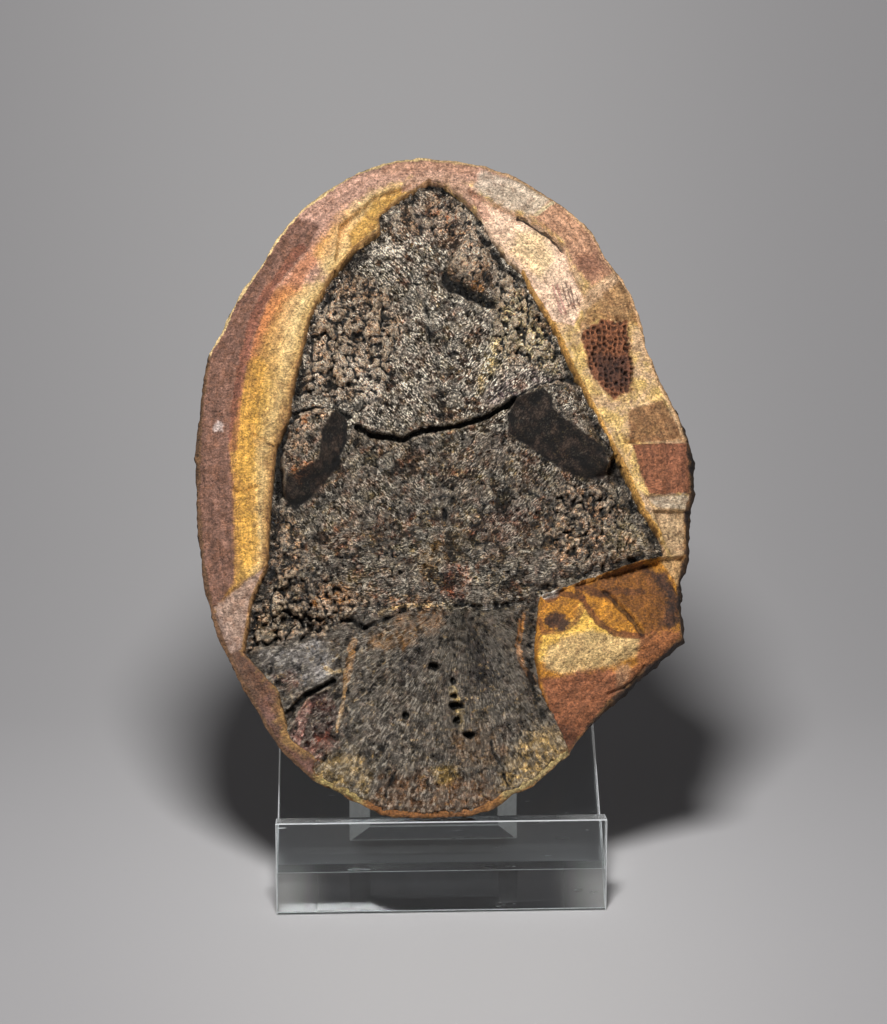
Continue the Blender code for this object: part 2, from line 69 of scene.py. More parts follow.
faceOutline = [(-0.5, 147.7), (10.9, 146.3), (19.9, 142.9), (28.9, 136.9), (35.5, 130.5), (39.8, 122.6),
    (44.1, 116.2), (46.1, 109.6), (47, 103.8), (50, 94.5), (53.2, 88.7), (55.2, 82), (55.9, 70),
    (54.5, 65.5), (54, 57), (52.6, 50.5), (51.8, 44), (52.2, 37.5), (48.2, 33.9), (42.1, 29), (36.3, 24),
    (32.3, 19.5), (29, 15.5), (27.4, 12.5), (24.6, 10.5), (19.6, 6.4), (15.4, 4.6), (10.4, 1.4),
    (6.2, 0.1), (-0.4, -0.2), (-6.5, -0.2), (-13, 0.5), (-20.8, 4.9), (-27.6, 8.2), (-34.5, 15.2),
    (-38.1, 21.1), (-43.7, 31), (-48.7, 42.5), (-51.2, 55.6), (-52.3, 70), (-52, 86.9), (-50.3, 101),
    (-47.3, 106.6), (-44.2, 113.7), (-39.6, 120.8), (-35.1, 128.4), (-30.5, 134.6), (-22.4, 141),
    (-17.2, 144.4), (-8.9, 147.2)]
skullOutline = [(-0.6, 142.4), (2.6, 141.7), (7.5, 137.6), (11.1, 133.6), (13.4, 129), (17, 123.8),
    (20.1, 121), (21.6, 117.2), (26.1, 109.2), (28.4, 103.8), (30.7, 98.3), (34.5, 89.5), (40.3, 77.4),
    (45.4, 65.6), (48.7, 60.5), (50.3, 55.8), (44.1, 54.5), (31.9, 50.6), (22.3, 47.2), (20.6, 35),
    (21.7, 26.5), (27.4, 13.8), (34, 4), (15, -7), (-15, -7), (-33, 3), (-26.1, 12.3), (-32, 16.6),
    (-34.8, 27.3), (-42.1, 35.3), (-40.4, 46.8), (-37, 54.2), (-36.6, 65.7), (-35.4, 79.8), (-32.3, 87.7),
    (-31.2, 95.7), (-27.9, 110), (-22.8, 120.1), (-17.6, 126.4), (-12, 130.2), (-12.4, 134.5),
    (-5.1, 139.3)]


def smoothStep(value, low, high):
    share = np.clip((value - low) / (high - low), 0.0, 1.0)
    return share * share * (3.0 - 2.0 * share)


def pathDistance(a, b, path):
    nearest = np.full(a.shape, np.inf)
    for (a0, b0), (a1, b1) in zip(path, path[1:]):
        runA, runB = a1 - a0, b1 - b0
        along = np.clip(((a - a0) * runA + (b - b0) * runB) / (runA**2 + runB**2), 0.0, 1.0)
        nearest = np.minimum(nearest, np.hypot(a - a0 - along * runA, b - b0 - along * runB))
    return nearest


# Distance to a closed outline: positive inside it, negative outside
def depthInside(a, b, outline):
    closed = outline + outline[:1]
    inside = np.zeros(a.shape, bool)
    for (a0, b0), (a1, b1) in zip(closed, closed[1:]):
        if b0 != b1:
            crosses = (b0 > b) != (b1 > b)
            inside ^= crosses & (a < a0 + (b - b0) * (a1 - a0) / (b1 - b0))
    return np.where(inside, 1.0, -1.0) * pathDistance(a, b, closed)


# Smooth noise between about -1 and 1, with a swell or a dip every cell or so
def latticeNoise(a, b, cell, seed):
    column, row = np.floor(a / cell).astype(int), np.floor(b / cell).astype(int)
    across, up = a / cell - column, b / cell - row

    def corner(stepA, stepB):
        turn = shuffle[(shuffle[(column + stepA + seed) & 255] + row + stepB) & 255]
        angle = turn * (2.0 * math.pi / 256)
        return np.cos(angle) * (across - stepA) + np.sin(angle) * (up - stepB)

    easeA = across * across * (3.0 - 2.0 * across)
    easeB = up * up * (3.0 - 2.0 * up)
    low = corner(0, 0) * (1.0 - easeA) + corner(1, 0) * easeA
    high = corner(0, 1) * (1.0 - easeA) + corner(1, 1) * easeA
    return 1.5 * (low * (1.0 - easeB) + high * easeB)


# Both places moved a little, so that what is drawn from them is uneven
def shaken(a, b, amount, cell, seedA, seedB):
    return (a + amount * latticeNoise(a, b, cell, seedA),
            b + amount * latticeNoise(a, b, cell, seedB))


def layeredNoise(a, b, cell, layers, seed):
    total = np.zeros(a.shape)
    for layer in range(layers):
        total += latticeNoise(a, b, cell / 2**layer, seed + 17 * layer) / 2**layer
    return total


# Scattered points, one in each cell: distance to the nearest and to the next, as shares of the
# cell, and a number from 0 to 1 that belongs to the nearest
def scatter(a, b, cell, seed):
    column, row = np.floor(a / cell).astype(int), np.floor(b / cell).astype(int)
    nearest, second = np.full(a.shape, np.inf), np.full(a.shape, np.inf)
    tone = np.zeros(a.shape)
    for stepA in (-1, 0, 1):
        for stepB in (-1, 0, 1):
            one = shuffle[(shuffle[(column + stepA + seed) & 255] + row + stepB) & 255]
            two = shuffle[(one + 71) & 255]
            away = np.hypot(a - (column + stepA + 0.15 + 0.7 * one / 255) * cell,
                            b - (row + stepB + 0.15 + 0.7 * two / 255) * cell)
            second = np.minimum(second, np.maximum(nearest, away))
            tone = np.where(away < nearest, shuffle[(two + 29) & 255] / 255.0, tone)
            nearest = np.minimum(nearest, away)
    return nearest / cell, second / cell, tone


def knobs(a, b, cell, seed):
    return 1.0 - smoothStep(scatter(a, b, cell, seed)[0], 0.0, 0.62)


# Broken plates of crust: each at a height of its own, 0 to 1, with a gap all round it
def flakes(a, b, cell, seed):
    bendA = a + 0.45 * cell * layeredNoise(a, b, cell, 2, seed + 3)
    bendB = b + 0.45 * cell * layeredNoise(a, b, cell, 2, seed + 7)
    near, second, tone = scatter(bendA, bendB, cell, seed)
    return tone * smoothStep(second - near, 0.0, 0.2)


# Worm-like ridges that run one way: 1 along a ridge, 0 in the groove between two
def wormRidges(a, b, gap, stretch, turn, seed):
    lean = math.radians(turn)
    bendA, bendB = shaken(a, b, 0.5 * gap, 4.0 * gap, seed + 5, seed + 9)
    along = bendA * math.cos(lean) + bendB * math.sin(lean)
    across = bendB * math.cos(lean) - bendA * math.sin(lean)
    wave = latticeNoise(along / stretch, across, gap, seed)
    return np.clip(1.0 - 2.2 * np.abs(wave), 0.0, 1.0)


# Broken facets of the stone: outline, level at its middle, slope along a and b
stoneFacets = {
    "yellow step": ([(-21, 131.4), (-12.8, 138.6), (-4.7, 141), (-9.2, 137.6), (-13.8, 130.4),
        (-22.1, 123.3)], -1.3, 0, 0.05),
    "grey patch": ([(9, 139), (11, 144), (19, 142.3), (27.2, 137.3), (23.1, 133.6), (17, 134.5)], 0.7,
        0.02, 0),
    "cream slope": ([(8, 140), (19, 134), (25.1, 131.2), (29.5, 126.4), (31, 120), (34, 114), (31, 108),
        (26.1, 109.2), (20.1, 121), (13.4, 129)], -0.9, 0.06, -0.02),
    "brown facet": ([(23.1, 133.6), (27.3, 137.6), (33.8, 132.6), (40.5, 121), (35.3, 116.7),
        (30.5, 122.6), (29.1, 127.4)], 1, -0.08, -0.02),
    "olive facet": ([(33, 112.5), (40.6, 119.8), (45, 113), (46, 108), (37.3, 109.7), (32.5, 107)], 0.1,
        -0.04, 0.22),
    "upper right": ([(41.5, 88.3), (50.3, 91), (55, 81.4), (41.9, 80.6)], 0.6, -0.03, 0.12),
    "red facet": ([(41.9, 80.6), (55.6, 81), (55.9, 69.6), (45.5, 68.8)], 0.9, -0.04, 0.06),
    "grey ledge": ([(45.5, 68.8), (55.6, 69.4), (54.4, 65.6), (47.8, 65.6)], 0.3, 0, -0.35),
    "peach hollow": ([(47.4, 65.6), (54.4, 65.6), (53.9, 56.9), (50.5, 55.6)], -0.9, 0, 0),
    "lower hollow": ([(47.9, 55.1), (53.6, 55.5), (52.6, 47), (50.6, 46)], -1.5, 0.05, 0),
    "pink facet": ([(-49, 45.3), (-37.2, 54), (-40.4, 46.8), (-42.3, 36), (-46, 34)], -0.3, 0.05, 0.04),
}
wedge = {
    "outline": [(22.3, 47.2), (31.9, 50.6), (47.9, 55.1), (52.0, 47.0), (56.0, 38.0),
                (42.0, 24.0), (29.0, 10.0), (21.7, 26.5), (20.6, 35.0)],
    "crest": [(16.0, 30.5), (58.0, 38.5)],
    "height": 2.2, "rise": 0.27, "fall": 0.30,
}

# Level of the bone along its middle line, as (b, h)
skullLevels = [(-8, -1.4), (0, -0.5), (8, 0.3), (20, 0.8), (30, -0.1), (40, -1.4), (44, -2.2),
    (47.5, -0.9), (55, -0.6), (70, -0.8), (84, -1), (100, -1.2), (115, -1.8), (125, -2.1), (133, -1.9),
    (142, -1.2)]
sideDrop, halfWidth = 1.5, 36.0

# Flanges that stand out of the skull: their ridge, the foot of the steep face, and the slab
leftFoot = [(-19.8, 87.9), (-19.4, 82.4), (-22.7, 74.8), (-27.1, 69.5), (-31.2, 66.4), (-33.6, 69.5)]
rightFoot = [(37.4, 73.6), (32, 73.5), (27.6, 75.2), (22.2, 79.3), (16.2, 83.7), (16, 87.4)]
flanges = {
    "left": {
        "ridge": [(-22.2, 88.1), (-24.9, 83.6), (-25.8, 76.8), (-29.3, 74.8), (-32.7, 72.8)],
        "foot": leftFoot[::-1],
        "slab": [(-34.5, 78.0), (-32.8, 86.0), (-29.0, 88.5), (-22.2, 89.2)] + leftFoot,
        "height": 5.6,
    },
    "right": {
        "ridge": [(17.4, 90.3), (23.4, 92.3), (25.2, 90.9), (25.5, 87.9), (28.3, 85.4),
                  (36.4, 79.5), (37.3, 76.5)],
        "foot": rightFoot,
        "slab": [(17.0, 91.0), (26.8, 95.5), (32.5, 95.0), (36.7, 86.8),
                 (39.6, 78.5)] + rightFoot,
        "height": 6.2,
    },
}
flangeReach = 12.0

# Cracks, grooves and ridges: path, width, height, and how sharp the middle is
boneLines = {
    "crack left": ([(-32, 88.6), (-29.8, 89.4), (-26.1, 89.6), (-23.2, 88.7), (-21, 88.4), (-18.8, 87.6)],
        0.5, -1.9, 0.4),
    "crack right": ([(-17.7, 85.3), (-14.4, 83.7), (-11.2, 83.2), (-7.2, 82.3), (-5, 83.8), (-2.4, 84.5),
        (5.4, 85.4), (11.8, 88), (17.4, 91)], 0.8, -3.6, 0.35),
    "crack thin": ([(17.4, 91), (24.1, 94.4), (29.1, 96.4), (34.7, 96.2), (38, 97)], 0.45, -1.4, 0.5),
    "crack of the flange": ([(36.6, 78), (39.7, 77.5)], 0.4, -1, 0.5),
    "left split": ([(-32.5, 82.1), (-30.4, 83.2), (-29, 85)], 0.4, -0.9, 0.5),
    "middle notch": ([(-2, 114.6), (-1.3, 109.6), (-0.9, 104)], 0.8, -0.9, 0.8),
    "middle ridge": ([(-0.9, 104), (0.4, 97)], 1.5, 0.5, 1),
    "middle groove": ([(0.6, 98), (2.1, 65.2), (3.1, 55.2), (4.6, 46.5)], 2.6, -0.6, 1),
    "snout arc": ([(-4.6, 135.4), (-1.4, 135.9), (1.8, 135.2), (4.5, 133.5)], 1.1, 0.8, 1),
    "under the rim": ([(-3.3, 142), (1.1, 141.4), (5.4, 139.2), (8.8, 136.6), (10.5, 134.4)], 1.4, -1.1,
        0.9),
    "pale ridge": ([(4.6, 137), (8.2, 134), (12.6, 129.6)], 0.55, 1.1, 1),
    "under the boss": ([(3, 119.6), (6.4, 117.2), (9.6, 115.4), (12.2, 114.6)], 2.3, -3.2, 0.8),
    "crevice left": ([(-43.5, 37.6), (-40.5, 40.6), (-36.5, 41.4), (-31.9, 43.4), (-29.8, 41.8),
        (-28.5, 40.9), (-25.9, 40.5)], 1, -1.6, 0.7),
    "crevice middle": ([(-25.9, 40.5), (-23.3, 42.6), (-18.6, 42.6), (-16, 40.8), (-13.7, 41.7),
        (-10, 43.2), (-7.2, 44.7)], 0.8, -1.1, 0.7),
    "crevice right": ([(3.7, 45.5), (5.4, 45.7), (8.6, 45), (11.2, 44.7), (14.5, 45.6), (18.9, 45.8)],
        0.8, -1.3, 0.6),
    "left ledge": ([(-33, 45.5), (-27, 43.4), (-20, 43.2), (-14.5, 46.4)], 0.9, 0.9, 1),
    "fan ridge": ([(5, 42), (4.9, 27), (4, 12)], 1.9, 0.6, 1),
    "fan line": ([(5.3, 42.2), (8.9, 37.6), (13.1, 32.1), (17.7, 26.2)], 0.5, 0.65, 1),
    "fan line two": ([(5.9, 37.6), (11, 30.6), (15.5, 23.5)], 0.45, 0.5, 1),
    "fan line three": ([(5.7, 42), (7.4, 34), (8.6, 26)], 0.45, 0.45, 1),
    "fan line left": ([(-16.6, 24.9), (-12.7, 30.8), (-9.4, 35.6)], 0.5, 0.5, 1),
    "vein": ([(-18.4, 37.8), (-19.1, 33.5), (-20, 29.2), (-20.8, 23.8), (-22.1, 18.3)], 0.9, 0.7, 1),
    "right vein": ([(18.5, 43.7), (17, 36.4), (18, 32.2), (20.4, 28.5)], 1.1, -0.9, 1),
    "shell crack": ([(-33.8, 18.5), (-33, 21.8), (-30.6, 24.2), (-28.7, 25.9), (-26.8, 27.1),
        (-22.7, 29.2)], 0.8, -2.4, 0.45),
    "shell edge": ([(-32.6, 17.5), (-30.2, 22.2), (-27.6, 26), (-23.6, 27.4)], 0.7, 0.9, 1),
    "snout crack": ([(-18.6, 134.6), (-13.2, 138.6), (-10.5, 140.3)], 0.8, -1.3, 0.6),
    "base crack left": ([(-9.9, 9.2), (-10.8, 7.4), (-11.6, 4.4)], 0.45, -0.9, 0.6),
    "base crack right": ([(10.4, 15.5), (12.6, 10.4), (14.2, 5.6)], 0.5, -0.9, 0.6),
    "slab edge": ([(17.6, 102), (21.2, 98.2), (24.6, 95)], 0.5, 0.5, 1),
}
stoneLines = {
    "wedge crack": ([(36.4, 47.8), (38.8, 45.5), (41.5, 41.7), (43.7, 38.4)], 0.8, -1.3, 0.5),
    "rim crack": ([(19.1, 133.8), (20.6, 133.1), (22.2, 131.9), (24.2, 130.7), (26, 129.5), (27.7, 127.4),
        (29, 125.7)], 0.45, -1.4, 0.4),
    "slope crack": ([(16.3, 131.4), (17.9, 133.3), (19.1, 133.8)], 0.3, -0.6, 0.6),
    "slope crack low": ([(21.4, 125.7), (22.4, 124), (24, 122.9)], 0.3, -0.5, 0.6),
    "facet ridge": ([(40.8, 119.8), (36.6, 116.6), (32.7, 112.8)], 0.9, 0.6, 1),
    "strip crack": ([(-40, 83), (-37.8, 81.8), (-35.4, 80.4)], 0.5, -0.7, 0.6),
    "strip crack low": ([(-44.3, 71.1), (-42.3, 70.1), (-39.6, 71.4)], 0.5, -0.5, 0.6),
    "facet seam": ([(41.6, 81.2), (48, 80.2), (55, 81.2)], 0.6, -0.5, 0.8),
    "wedge lip": ([(36.5, 25.6), (40, 27.2), (44, 31.4)], 0.6, -0.7, 0.7),
}

# Single lumps and pits: middle, half width, half height, height
boneLumps = {
    "boss top": ((8.2, 123.6), 5.6, 5.8, 5.6),
    "boss shoulder": ((5.4, 121.6), 3, 3, 1.2),
    "boss knob one": ((13.6, 119.6), 1.6, 1.6, 1.3),
    "boss knob two": ((16.2, 118.2), 1.9, 1.6, 1.5),
    "boss knob three": ((18, 115.4), 1.6, 1.6, 1.2),
    "cavity": ((19.4, 112.2), 1.4, 1.2, -2.4),
    "snout left lump": ((-7.5, 135), 3, 2.6, 1.3),
    "left lump": ((-14, 113), 4, 2.6, 1.2),
    "left knob": ((-9.9, 112.2), 1.9, 1.7, 1.1),
    "nostril": ((-11.1, 138.1), 1.5, 1.3, -2.8),
    "middle pit": ((4, 73.1), 1.8, 1.2, -0.9),
    "palate pit": ((1.7, 65.4), 0.9, 1.8, -1.4),
    "fan pit": ((-1.3, 32), 1.6, 1.3, -2.6),
    "small pit": ((-7.4, 21.4), 0.9, 1.3, -1.8),
    "row pit one": ((2.8, 28.6), 0.9, 0.9, -1.6),
    "row pit two": ((2.9, 25.5), 1, 0.8, -1.6),
    "row pit three": ((3.3, 23.4), 2, 1.2, -2.8),
    "row pit four": ((3.5, 20.2), 1.2, 1.6, -2.4),
    "row pit five": ((6, 17.2), 1.7, 1, -2.6),
    "left swell": ((-28, 56), 7, 8, 0.9),
    "right swell": ((31, 61), 8, 7, 0.9),
    "lower left swell": ((-29, 35), 8, 4, 1),
    "shell hollow": ((-29.4, 20.6), 2.6, 3.8, -1.5),
    "ledge hole one": ((-28.5, 40.9), 2, 1, -1.6),
    "ledge hole two": ((-22, 43.1), 1.2, 0.8, -1.4),
    "ledge hole three": ((-16, 40.8), 1.3, 0.8, -1.4),
    "ledge hole right": ((43, 55.4), 1.7, 0.8, -1.2),
}
purpleSlab = [(11.6, 88.4), (10.7, 92.3), (13.3, 97.6), (17.6, 102.7), (22, 99.5), (26.8, 94.8),
    (21, 92.3), (16.5, 90.5)]
spongyBone = [(32.1, 106.6), (37.3, 109.7), (43.4, 109.9), (44.4, 97.5), (43.7, 92.2), (39.2, 91.3),
    (34.7, 96.4)]
# Patches of knobbly crust on the bone: outline, size of a knob, height
crustPatches = {
    "green crust": ([(14, 121), (20, 120), (27, 106), (29, 98), (20, 99), (14, 103), (12.5, 113)], 3,
        3.6),
    "brown lumps": ([(-27, 116), (-20, 122), (-11, 118), (-8, 108), (-12, 92), (-20, 90.5), (-29.5, 92),
        (-28.5, 104)], 3.9, 3.8),
    "snout": ([(-10, 138), (-3, 141.5), (5, 139), (13, 130), (10, 128), (-10, 130)], 2.6, 2.2),
    "boss": ([(3, 119), (3.6, 126), (8, 129), (13, 127), (14, 121), (9, 117)], 2.8, 1.8),
    "lower left": ([(-41, 36), (-40, 46), (-34, 52), (-24, 52), (-16, 46), (-24, 39), (-34, 38)], 4, 3.2),
    "left edge": ([(-37, 50), (-35, 68), (-31, 66), (-28, 52)], 3.2, 2),
    "right lumps": ([(22, 62), (27, 72), (38, 71), (44, 58), (36, 53.5), (26, 55)], 3.6, 2.4),
    "above the left flange": ([(-33, 76), (-33, 90), (-22, 92), (-25, 82)], 3, 1.6),
}
smoothPlane = [(7.2, 42.6), (8.8, 37.7), (13.6, 26.8), (5.4, 24.7), (5.6, 37.7)]
fanApex = (5.7, 43.5)
# Below this line the back of the skull starts, as a second piece of bone
baseOutline = [(-60, 41), (-36.5, 41), (-30.5, 41.6), (-23.9, 42.2), (-18.7, 43.9), (-8.4, 44.6),
    (2.2, 44.6), (11.1, 45.2), (18.8, 46), (26, 49), (44, 40), (44, -20), (-60, -20)]

boneDetail = {
    "wormGap": 0.85, "wormStretch": 2.2, "wormHeight": 0.30, "wormLean": 48.0,
    "rayGap": 0.05, "rayHeight": 0.32,
    "grainCell": 0.6, "grainHeight": 0.09,
    "roughCell": 2.3, "roughHeight": 0.5,
    "scabCell": 3.3, "scabHeight": 1.25,
    "flakeCell": 5.5,
    "moatDepth": 1.5, "moatWidth": 1.3,
    "rimStrip": 1.3,
    "hollowReach": 1.1,
    "slabHeight": 1.4,
}
stoneDetail = {
    "grainCell": 1.3, "grainHeight": 0.2,
    "chipCell": 3.4, "chipHeight": 0.4,
    "growthGap": 1.5, "growthHeight": 0.04,
    "spongeCell": 1.2, "spongeDepth": 1.9,
    "edgeRounding": 0.45, "edgeWidth": 0.7,
}


def flangeLevel(a, b, ridge, foot, slab, height):
    a = a + 0.3 * latticeNoise(a, b, 1.6, 95) + 0.4 * latticeNoise(a, b, 4.0, 96)
    b = b + 0.3 * latticeNoise(a, b, 1.6, 97) + 0.4 * latticeNoise(a, b, 4.0, 98)
    toRidge, toFoot = pathDistance(a, b, ridge), pathDistance(a, b, foot)
    face = height * toFoot / (toRidge + toFoot + 1e-6)
    back = height * np.clip(1.0 - toRidge / flangeReach, 0.0, 1.0)
    steep = depthInside(a, b, ridge + foot) > 0.0
    return np.where(steep, face, back) * smoothStep(depthInside(a, b, slab), 0.0, 0.9)


def addLines(level, a, b, lines):
    shakeA = a + 0.22 * latticeNoise(a, b, 1.4, 91) + 0.3 * latticeNoise(a, b, 4.0, 92)
    shakeB = b + 0.22 * latticeNoise(a, b, 1.4, 93) + 0.3 * latticeNoise(a, b, 4.0, 94)
    for path, width, height, sharpness in lines.values():
        away = pathDistance(shakeA, shakeB, path)
        level = level + height * (1.0 - smoothStep(away, 0.0, width)) ** sharpness
    return level


def stoneLevel(a, b):
    fromEdge = depthInside(a, b, faceOutline)
    level = 0.2 + 0.8 * smoothStep(fromEdge, 0.0, 9.0)
    level += 0.35 * layeredNoise(a, b, 9.0, 3, 5)
    for outline, height, slopeA, slopeB in stoneFacets.values():
        middleA, middleB = np.mean(outline, axis=0)
        plane = height + slopeA * (a - middleA) + slopeB * (b - middleB)
        share = smoothStep(depthInside(a, b, outline), -0.4, 0.4)
        level += share * (plane + 0.15 * layeredNoise(a, b, 5.0, 2, 9) - level)
    (a0, b0), (a1, b1) = wedge["crest"]
    fromCrest = b - (b0 + (a - a0) * (b1 - b0) / (a1 - a0))
    slope = np.where(fromCrest > 0, wedge["rise"], -wedge["fall"])
    roof = wedge["height"] - slope * fromCrest + 0.35 * layeredNoise(a, b, 7.0, 3, 21)
    share = smoothStep(depthInside(a, b, wedge["outline"]), -0.4, 0.4)
    return level + share * (roof - level)


# What the plain levels leave out: chips, sand, growth lines and the holes of the spongy bone
def stoneFinish(level, a, b):
    d = stoneDetail
    inner = -depthInside(a, b, skullOutline)
    fromEdge = depthInside(a, b, faceOutline)
    chips = latticeNoise(a, b, d["chipCell"], 71) + 0.6 * latticeNoise(a, b, d["chipCell"] / 2, 72)
    level = level + d["chipHeight"] * np.round(2.5 * chips) / 2.5 * 0.5 + d["chipHeight"] * chips / 2
    level += d["grainHeight"] * layeredNoise(a, b, d["grainCell"], 2, 73)
    growth = np.sin(2.0 * math.pi * (fromEdge + 0.4 * latticeNoise(a, b, 8.0, 75)) / d["growthGap"])
    level += d["growthHeight"] * growth * smoothStep(inner, 4.0, 8.0)
    bendA, bendB = shaken(a, b, 0.35, 1.5, 78, 79)
    near, second, tone = scatter(bendA, bendB, d["spongeCell"], 77)
    web = smoothStep(second - near, 0.1, 0.5) * (0.35 + 0.65 * tone)
    level -= d["spongeDepth"] * web * smoothStep(depthInside(a, b, spongyBone), -0.6, 0.8)
    level -= d["edgeRounding"] * np.exp(-np.maximum(fromEdge, 0.0) / d["edgeWidth"])
    return addLines(level, a, b, stoneLines)


def boneBase(a, b):
    lineB, lineH = np.transpose(skullLevels)
    wavy = b + 1.7 * layeredNoise(a, b, 8.0, 3, 3) - 0.04 * a
    level = np.interp(wavy, lineB, lineH) - sideDrop * (a / halfWidth) ** 2
    return level + 0.55 * layeredNoise(a, b, 11.0, 3, 31)


def boneLevel(a, b):
    level = boneBase(a, b)
    for outline, cell, height in crustPatches.values():
        share = smoothStep(depthInside(a, b, outline), -1.5, 1.5)
        crust = 0.8 * flakes(a, b, cell, 40) + 0.4 * flakes(a, b, cell / 2.3, 44)
        level += share * height * (crust + 0.3 * knobs(a, b, cell / 3.0, 48) - 0.4)
    level += boneDetail["slabHeight"] * smoothStep(depthInside(a, b, purpleSlab), -0.3, 0.3)
    roundA, roundB = shaken(a, b, 0.35, 1.7, 81, 82)
    for (midA, midB), halfA, halfB, height in boneLumps.values():
        off = np.hypot((roundA - midA) / halfA, (roundB - midB) / halfB)
        level += height * (1.0 - smoothStep(off, 0.3, 1.1))
    for side in flanges.values():
        level += flangeLevel(a, b, side["ridge"], side["foot"], side["slab"], side["height"])
    return level


# How much of the fine sculpture the bone shows: none on the sheer faces of the flanges
def sculptureShare(a, b):
    share = np.ones(a.shape)
    for side in flanges.values():
        share -= 0.85 * smoothStep(depthInside(a, b, side["ridge"] + side["foot"]), -0.2, 0.5)
    share -= 0.7 * smoothStep(depthInside(a, b, smoothPlane), -0.3, 0.6)
    share -= 0.4 * smoothStep(depthInside(a, b, purpleSlab), -0.3, 0.6)
    smooth = latticeNoise(a, b, boneDetail["flakeCell"], 101)
    share -= 0.7 * smoothStep(smooth, 0.5, 0.6)
    return np.clip(share, 0.0, 1.0)


# Which way the fibres of the bone run: share of those that lean right, level ones, and the fan
def fibreShares(a, b):
    swirl = a - 2.0 + 5.0 * latticeNoise(a, b, 16.0, 115)
    toRight = smoothStep(swirl, -4.0, 5.0)
    lower = smoothStep(-b - 6.0 * latticeNoise(a, b, 12.0, 116), -66.0, -54.0)
    fan = smoothStep(depthInside(a, b, baseOutline), 0.0, 1.5)
    return toRight, lower, fan


def crustShare(a, b):
    share = np.zeros(a.shape)
    for outline, _, _ in crustPatches.values():
        share = np.maximum(share, smoothStep(depthInside(a, b, outline), -1.5, 1.5))
    return share


def fanPlace(a, b):
    right, down = a - fanApex[0], fanApex[1] - b
    return np.arctan2(right, down + 2.0), np.hypot(right, down)


def boneFinish(level, a, b):
    d = boneDetail
    share = sculptureShare(a, b)
    toRight, lower, fan = fibreShares(a, b)
    left, right, flat = (wormRidges(a, b, d["wormGap"], d["wormStretch"], turn, seed) for
                         turn, seed in ((-d["wormLean"], 111), (d["wormLean"], 112), (4.0, 113)))
    worms = left * (1.0 - toRight) + right * toRight
    worms = worms * (1.0 - lower) + flat * lower
    angle, away = fanPlace(a, b)
    rayGap = d["rayGap"] * (1.0 + 10.0 / (away + 4.0))
    rays = 1.0 - 1.9 * np.abs(latticeNoise(angle / rayGap, away / 5.0, 1.0, 117))
    fine = d["wormHeight"] * worms * (1.0 - fan)
    fine += d["rayHeight"] * np.clip(rays, 0.0, 1.0) * fan * smoothStep(away, 3.0, 9.0)
    fine += 0.5 * d["wormHeight"] * knobs(a, b, 0.9, 119) * fan
    fine += d["grainHeight"] * layeredNoise(a, b, d["grainCell"], 2, 118)
    fine += d["roughHeight"] * (0.5 - np.abs(layeredNoise(a, b, d["roughCell"], 2, 123)))
    scabs = smoothStep(latticeNoise(a, b, 8.0, 125), -0.1, 0.35) * (1.0 - 0.6 * fan)
    fine += d["scabHeight"] * scabs * (flakes(a, b, d["scabCell"], 126) - 0.35)
    fine += 0.3 * d["scabHeight"] * (flakes(a, b, 0.5 * d["scabCell"], 127) - 0.4)
    return addLines(level + fine * share, a, b, boneLines), fine * share


def skullRegion(a, b):
    ragged = 0.28 * layeredNoise(a, b, 1.8, 2, 131)
    toRim = depthInside(a, b, faceOutline) - boneDetail["rimStrip"]
    return np.minimum(depthInside(a, b, skullOutline) + ragged, toRim + 2.0 * ragged)


# The stone's own face: broken stone round the skull, bone on the thin strip at the lower rim
def stoneFace(a, b):
    face = stoneFinish(stoneLevel(a, b), a, b)
    inSkull = depthInside(a, b, skullOutline)
    strip = (inSkull > 0.0) & (skullRegion(a, b) < 2.0)
    a, b = a[strip], b[strip]
    bone = boneFinish(boneLevel(a, b), a, b)[0] - 0.15
    fromEdge = np.maximum(depthInside(a, b, faceOutline), 0.0)
    bone -= stoneDetail["edgeRounding"] * np.exp(-fromEdge / stoneDetail["edgeWidth"])
    face[strip] += (bone - face[strip]) * smoothStep(inSkull[strip], 0.0, 0.45)
    return face


def boneFace(a, b):
    region = skullRegion(a, b)
    bone, fine = boneFinish(boneLevel(a, b), a, b)
    moat = (depthInside(a, b, skullOutline) - boneDetail["moatWidth"]) / boneDetail["moatWidth"]
    bone -= boneDetail["moatDepth"] * np.exp(-moat**2) * (1.0 - 0.7 * smoothStep(b, 126.0, 134.0))
    edge = region < 0.4
    under = np.minimum(bone[edge], stoneFace(a[edge], b[edge]) - 0.8)
    bone[edge] = under + (bone[edge] - under) * smoothStep(region[edge], -0.7, 0.35)
    return bone, fine


# Pulls the points next to an edge onto it, so that the edge is clean and not stepped
def pullOnto(a, b, depth, reach):
    step = 0.04
    away = depth(a, b)
    slopeA = (depth(a + step, b) - depth(a - step, b)) / (2.0 * step)
    slopeB = (depth(a, b + step) - depth(a, b - step)) / (2.0 * step)
    size = np.maximum(slopeA**2 + slopeB**2, 0.25)
    near = np.abs(away) < reach
    return (np.where(near, a - away * slopeA / size, a),
            np.where(near, b - away * slopeB / size, b))


# Mean over a square of the grid, to find what lies below its neighbours
def blurred(grid, reach):
    for axis in (0, 1):
        total = np.zeros(grid.shape)
        for step in range(-reach, reach + 1):
            total += np.roll(grid, step, axis)
        grid = total / (2 * reach + 1)
    return grid


def writeMask(mesh, name, values):
    layer = mesh.attributes.new(name, "FLOAT", "POINT")
    layer.data.foreach_set("value", np.asarray(values, np.float32))


